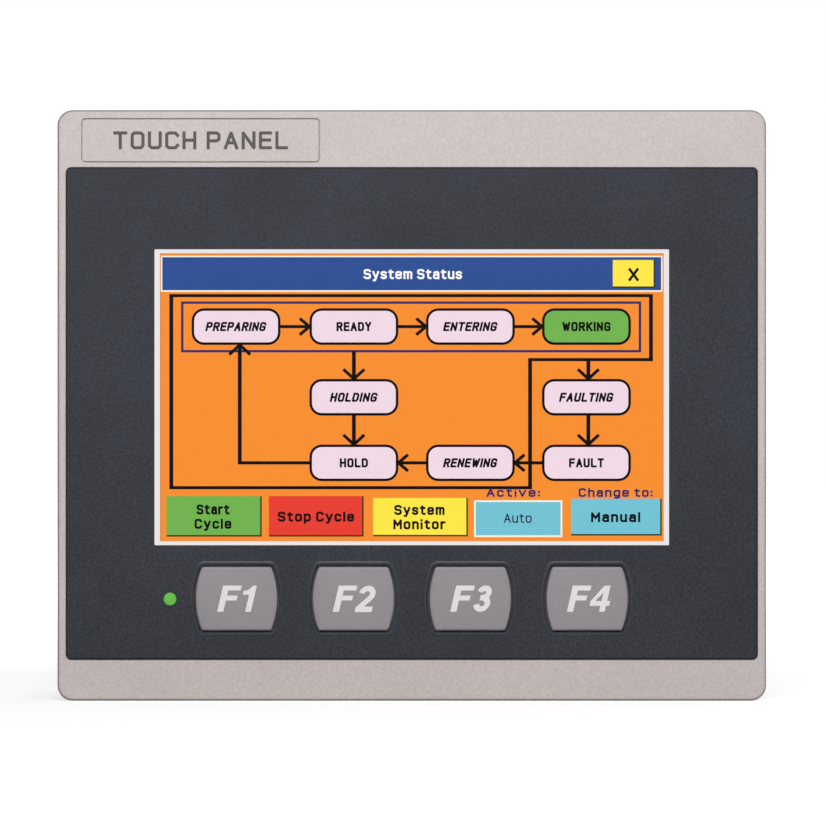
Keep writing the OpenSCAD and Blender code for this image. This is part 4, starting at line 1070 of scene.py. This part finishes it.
# ---- Floor, light and camera, in metres ----


def make_floor():
    """A pale floor that takes a soft shadow near the object and turns white away from it."""
    mesh = bpy.data.meshes.new("floor")
    half_w = 3
    corners = [(x, y, 0) for x, y in rectangle(-half_w, half_w, -half_w, half_w)]
    mesh.from_pydata(corners, [], [(0, 1, 2, 3)])
    floor = bpy.data.objects.new("floor", mesh)
    floor.location.z = FLOOR_Z * MM
    bpy.context.scene.collection.objects.link(floor)
    material = bpy.data.materials.new("floor_white")
    material.use_nodes = True
    tree = material.node_tree
    shader = tree.nodes["Principled BSDF"]
    shader.inputs["Base Color"].default_value = (0.55, 0.55, 0.56, 1)
    shader.inputs["Roughness"].default_value = 0.9
    shader.inputs["Specular IOR Level"].default_value = 0.1
    shader.inputs["Emission Color"].default_value = (1, 1, 1, 1)
    place = tree.nodes.new("ShaderNodeTexCoord").outputs["Object"]
    distance = tree.nodes.new("ShaderNodeVectorMath")
    distance.operation = "LENGTH"
    tree.links.new(place, distance.inputs[0])
    glow = tree.nodes.new("ShaderNodeMapRange")
    for socket, value in (("From Min", 0.12), ("From Max", 0.5), ("To Min", 0.62), ("To Max", 1)):
        glow.inputs[socket].default_value = value
    tree.links.new(distance.outputs["Value"], glow.inputs["Value"])
    seen = tree.nodes.new("ShaderNodeMath")
    seen.operation = "MULTIPLY"
    tree.links.new(glow.outputs["Result"], seen.inputs[0])
    tree.links.new(tree.nodes.new("ShaderNodeLightPath").outputs["Is Camera Ray"], seen.inputs[1])
    tree.links.new(seen.outputs[0], shader.inputs["Emission Strength"])
    mesh.materials.append(material)


def make_world():
    """Seen directly the surroundings are white; as light they are a soft grey."""
    world = bpy.data.worlds.new("studio")
    world.use_nodes = True
    tree = world.node_tree
    background = tree.nodes["Background"]
    seen = tree.nodes.new("ShaderNodeLightPath").outputs["Is Camera Ray"]
    strength = tree.nodes.new("ShaderNodeMapRange")
    strength.inputs["To Min"].default_value = 0.25
    strength.inputs["To Max"].default_value = 1.0
    tree.links.new(seen, strength.inputs["Value"])
    tree.links.new(strength.outputs["Result"], background.inputs["Strength"])
    background.inputs["Color"].default_value = (1, 1, 1, 1)
    bpy.context.scene.world = world


def area_light(name, place, target, size, power):
    """A square soft lamp at place that points at target."""
    lamp = bpy.data.lights.new(name, "AREA")
    lamp.shape = "SQUARE"
    lamp.size = size
    lamp.energy = power
    obj = bpy.data.objects.new(name, lamp)
    obj.location = place
    obj.rotation_euler = (Vector(target) - Vector(place)).to_track_quat("-Z", "Y").to_euler()
    bpy.context.scene.collection.objects.link(obj)


def make_camera():
    """Level and square to the front face, far enough back to flatten the perspective."""
    data = bpy.data.cameras.new("camera")
    data.lens = 224
    data.sensor_width = 36
    data.clip_start = 0.01
    camera = bpy.data.objects.new("camera", data)
    camera.location = (0.00024, -1.0075, -0.00147)
    camera.rotation_euler = (math.pi / 2, 0, 0)
    bpy.context.scene.collection.objects.link(camera)
    bpy.context.scene.camera = camera


make_floor()
make_world()
area_light("key", (-0.1, -0.95, 0.3), (0, 0, 0), 0.5, 4.8)
area_light("top", (0.0, -0.3, 0.3), (0, -0.01, 0.03), 0.2, 0.5)
area_light("fill", (0.9, -0.3, 0.25), (0, 0, 0), 0.6, 2.0)
area_light("rear", (0.5, 0.8, 0.35), (0, 0.02, 0), 0.6, 5.0)
make_camera()
bpy.context.scene.view_settings.view_transform = "Standard"
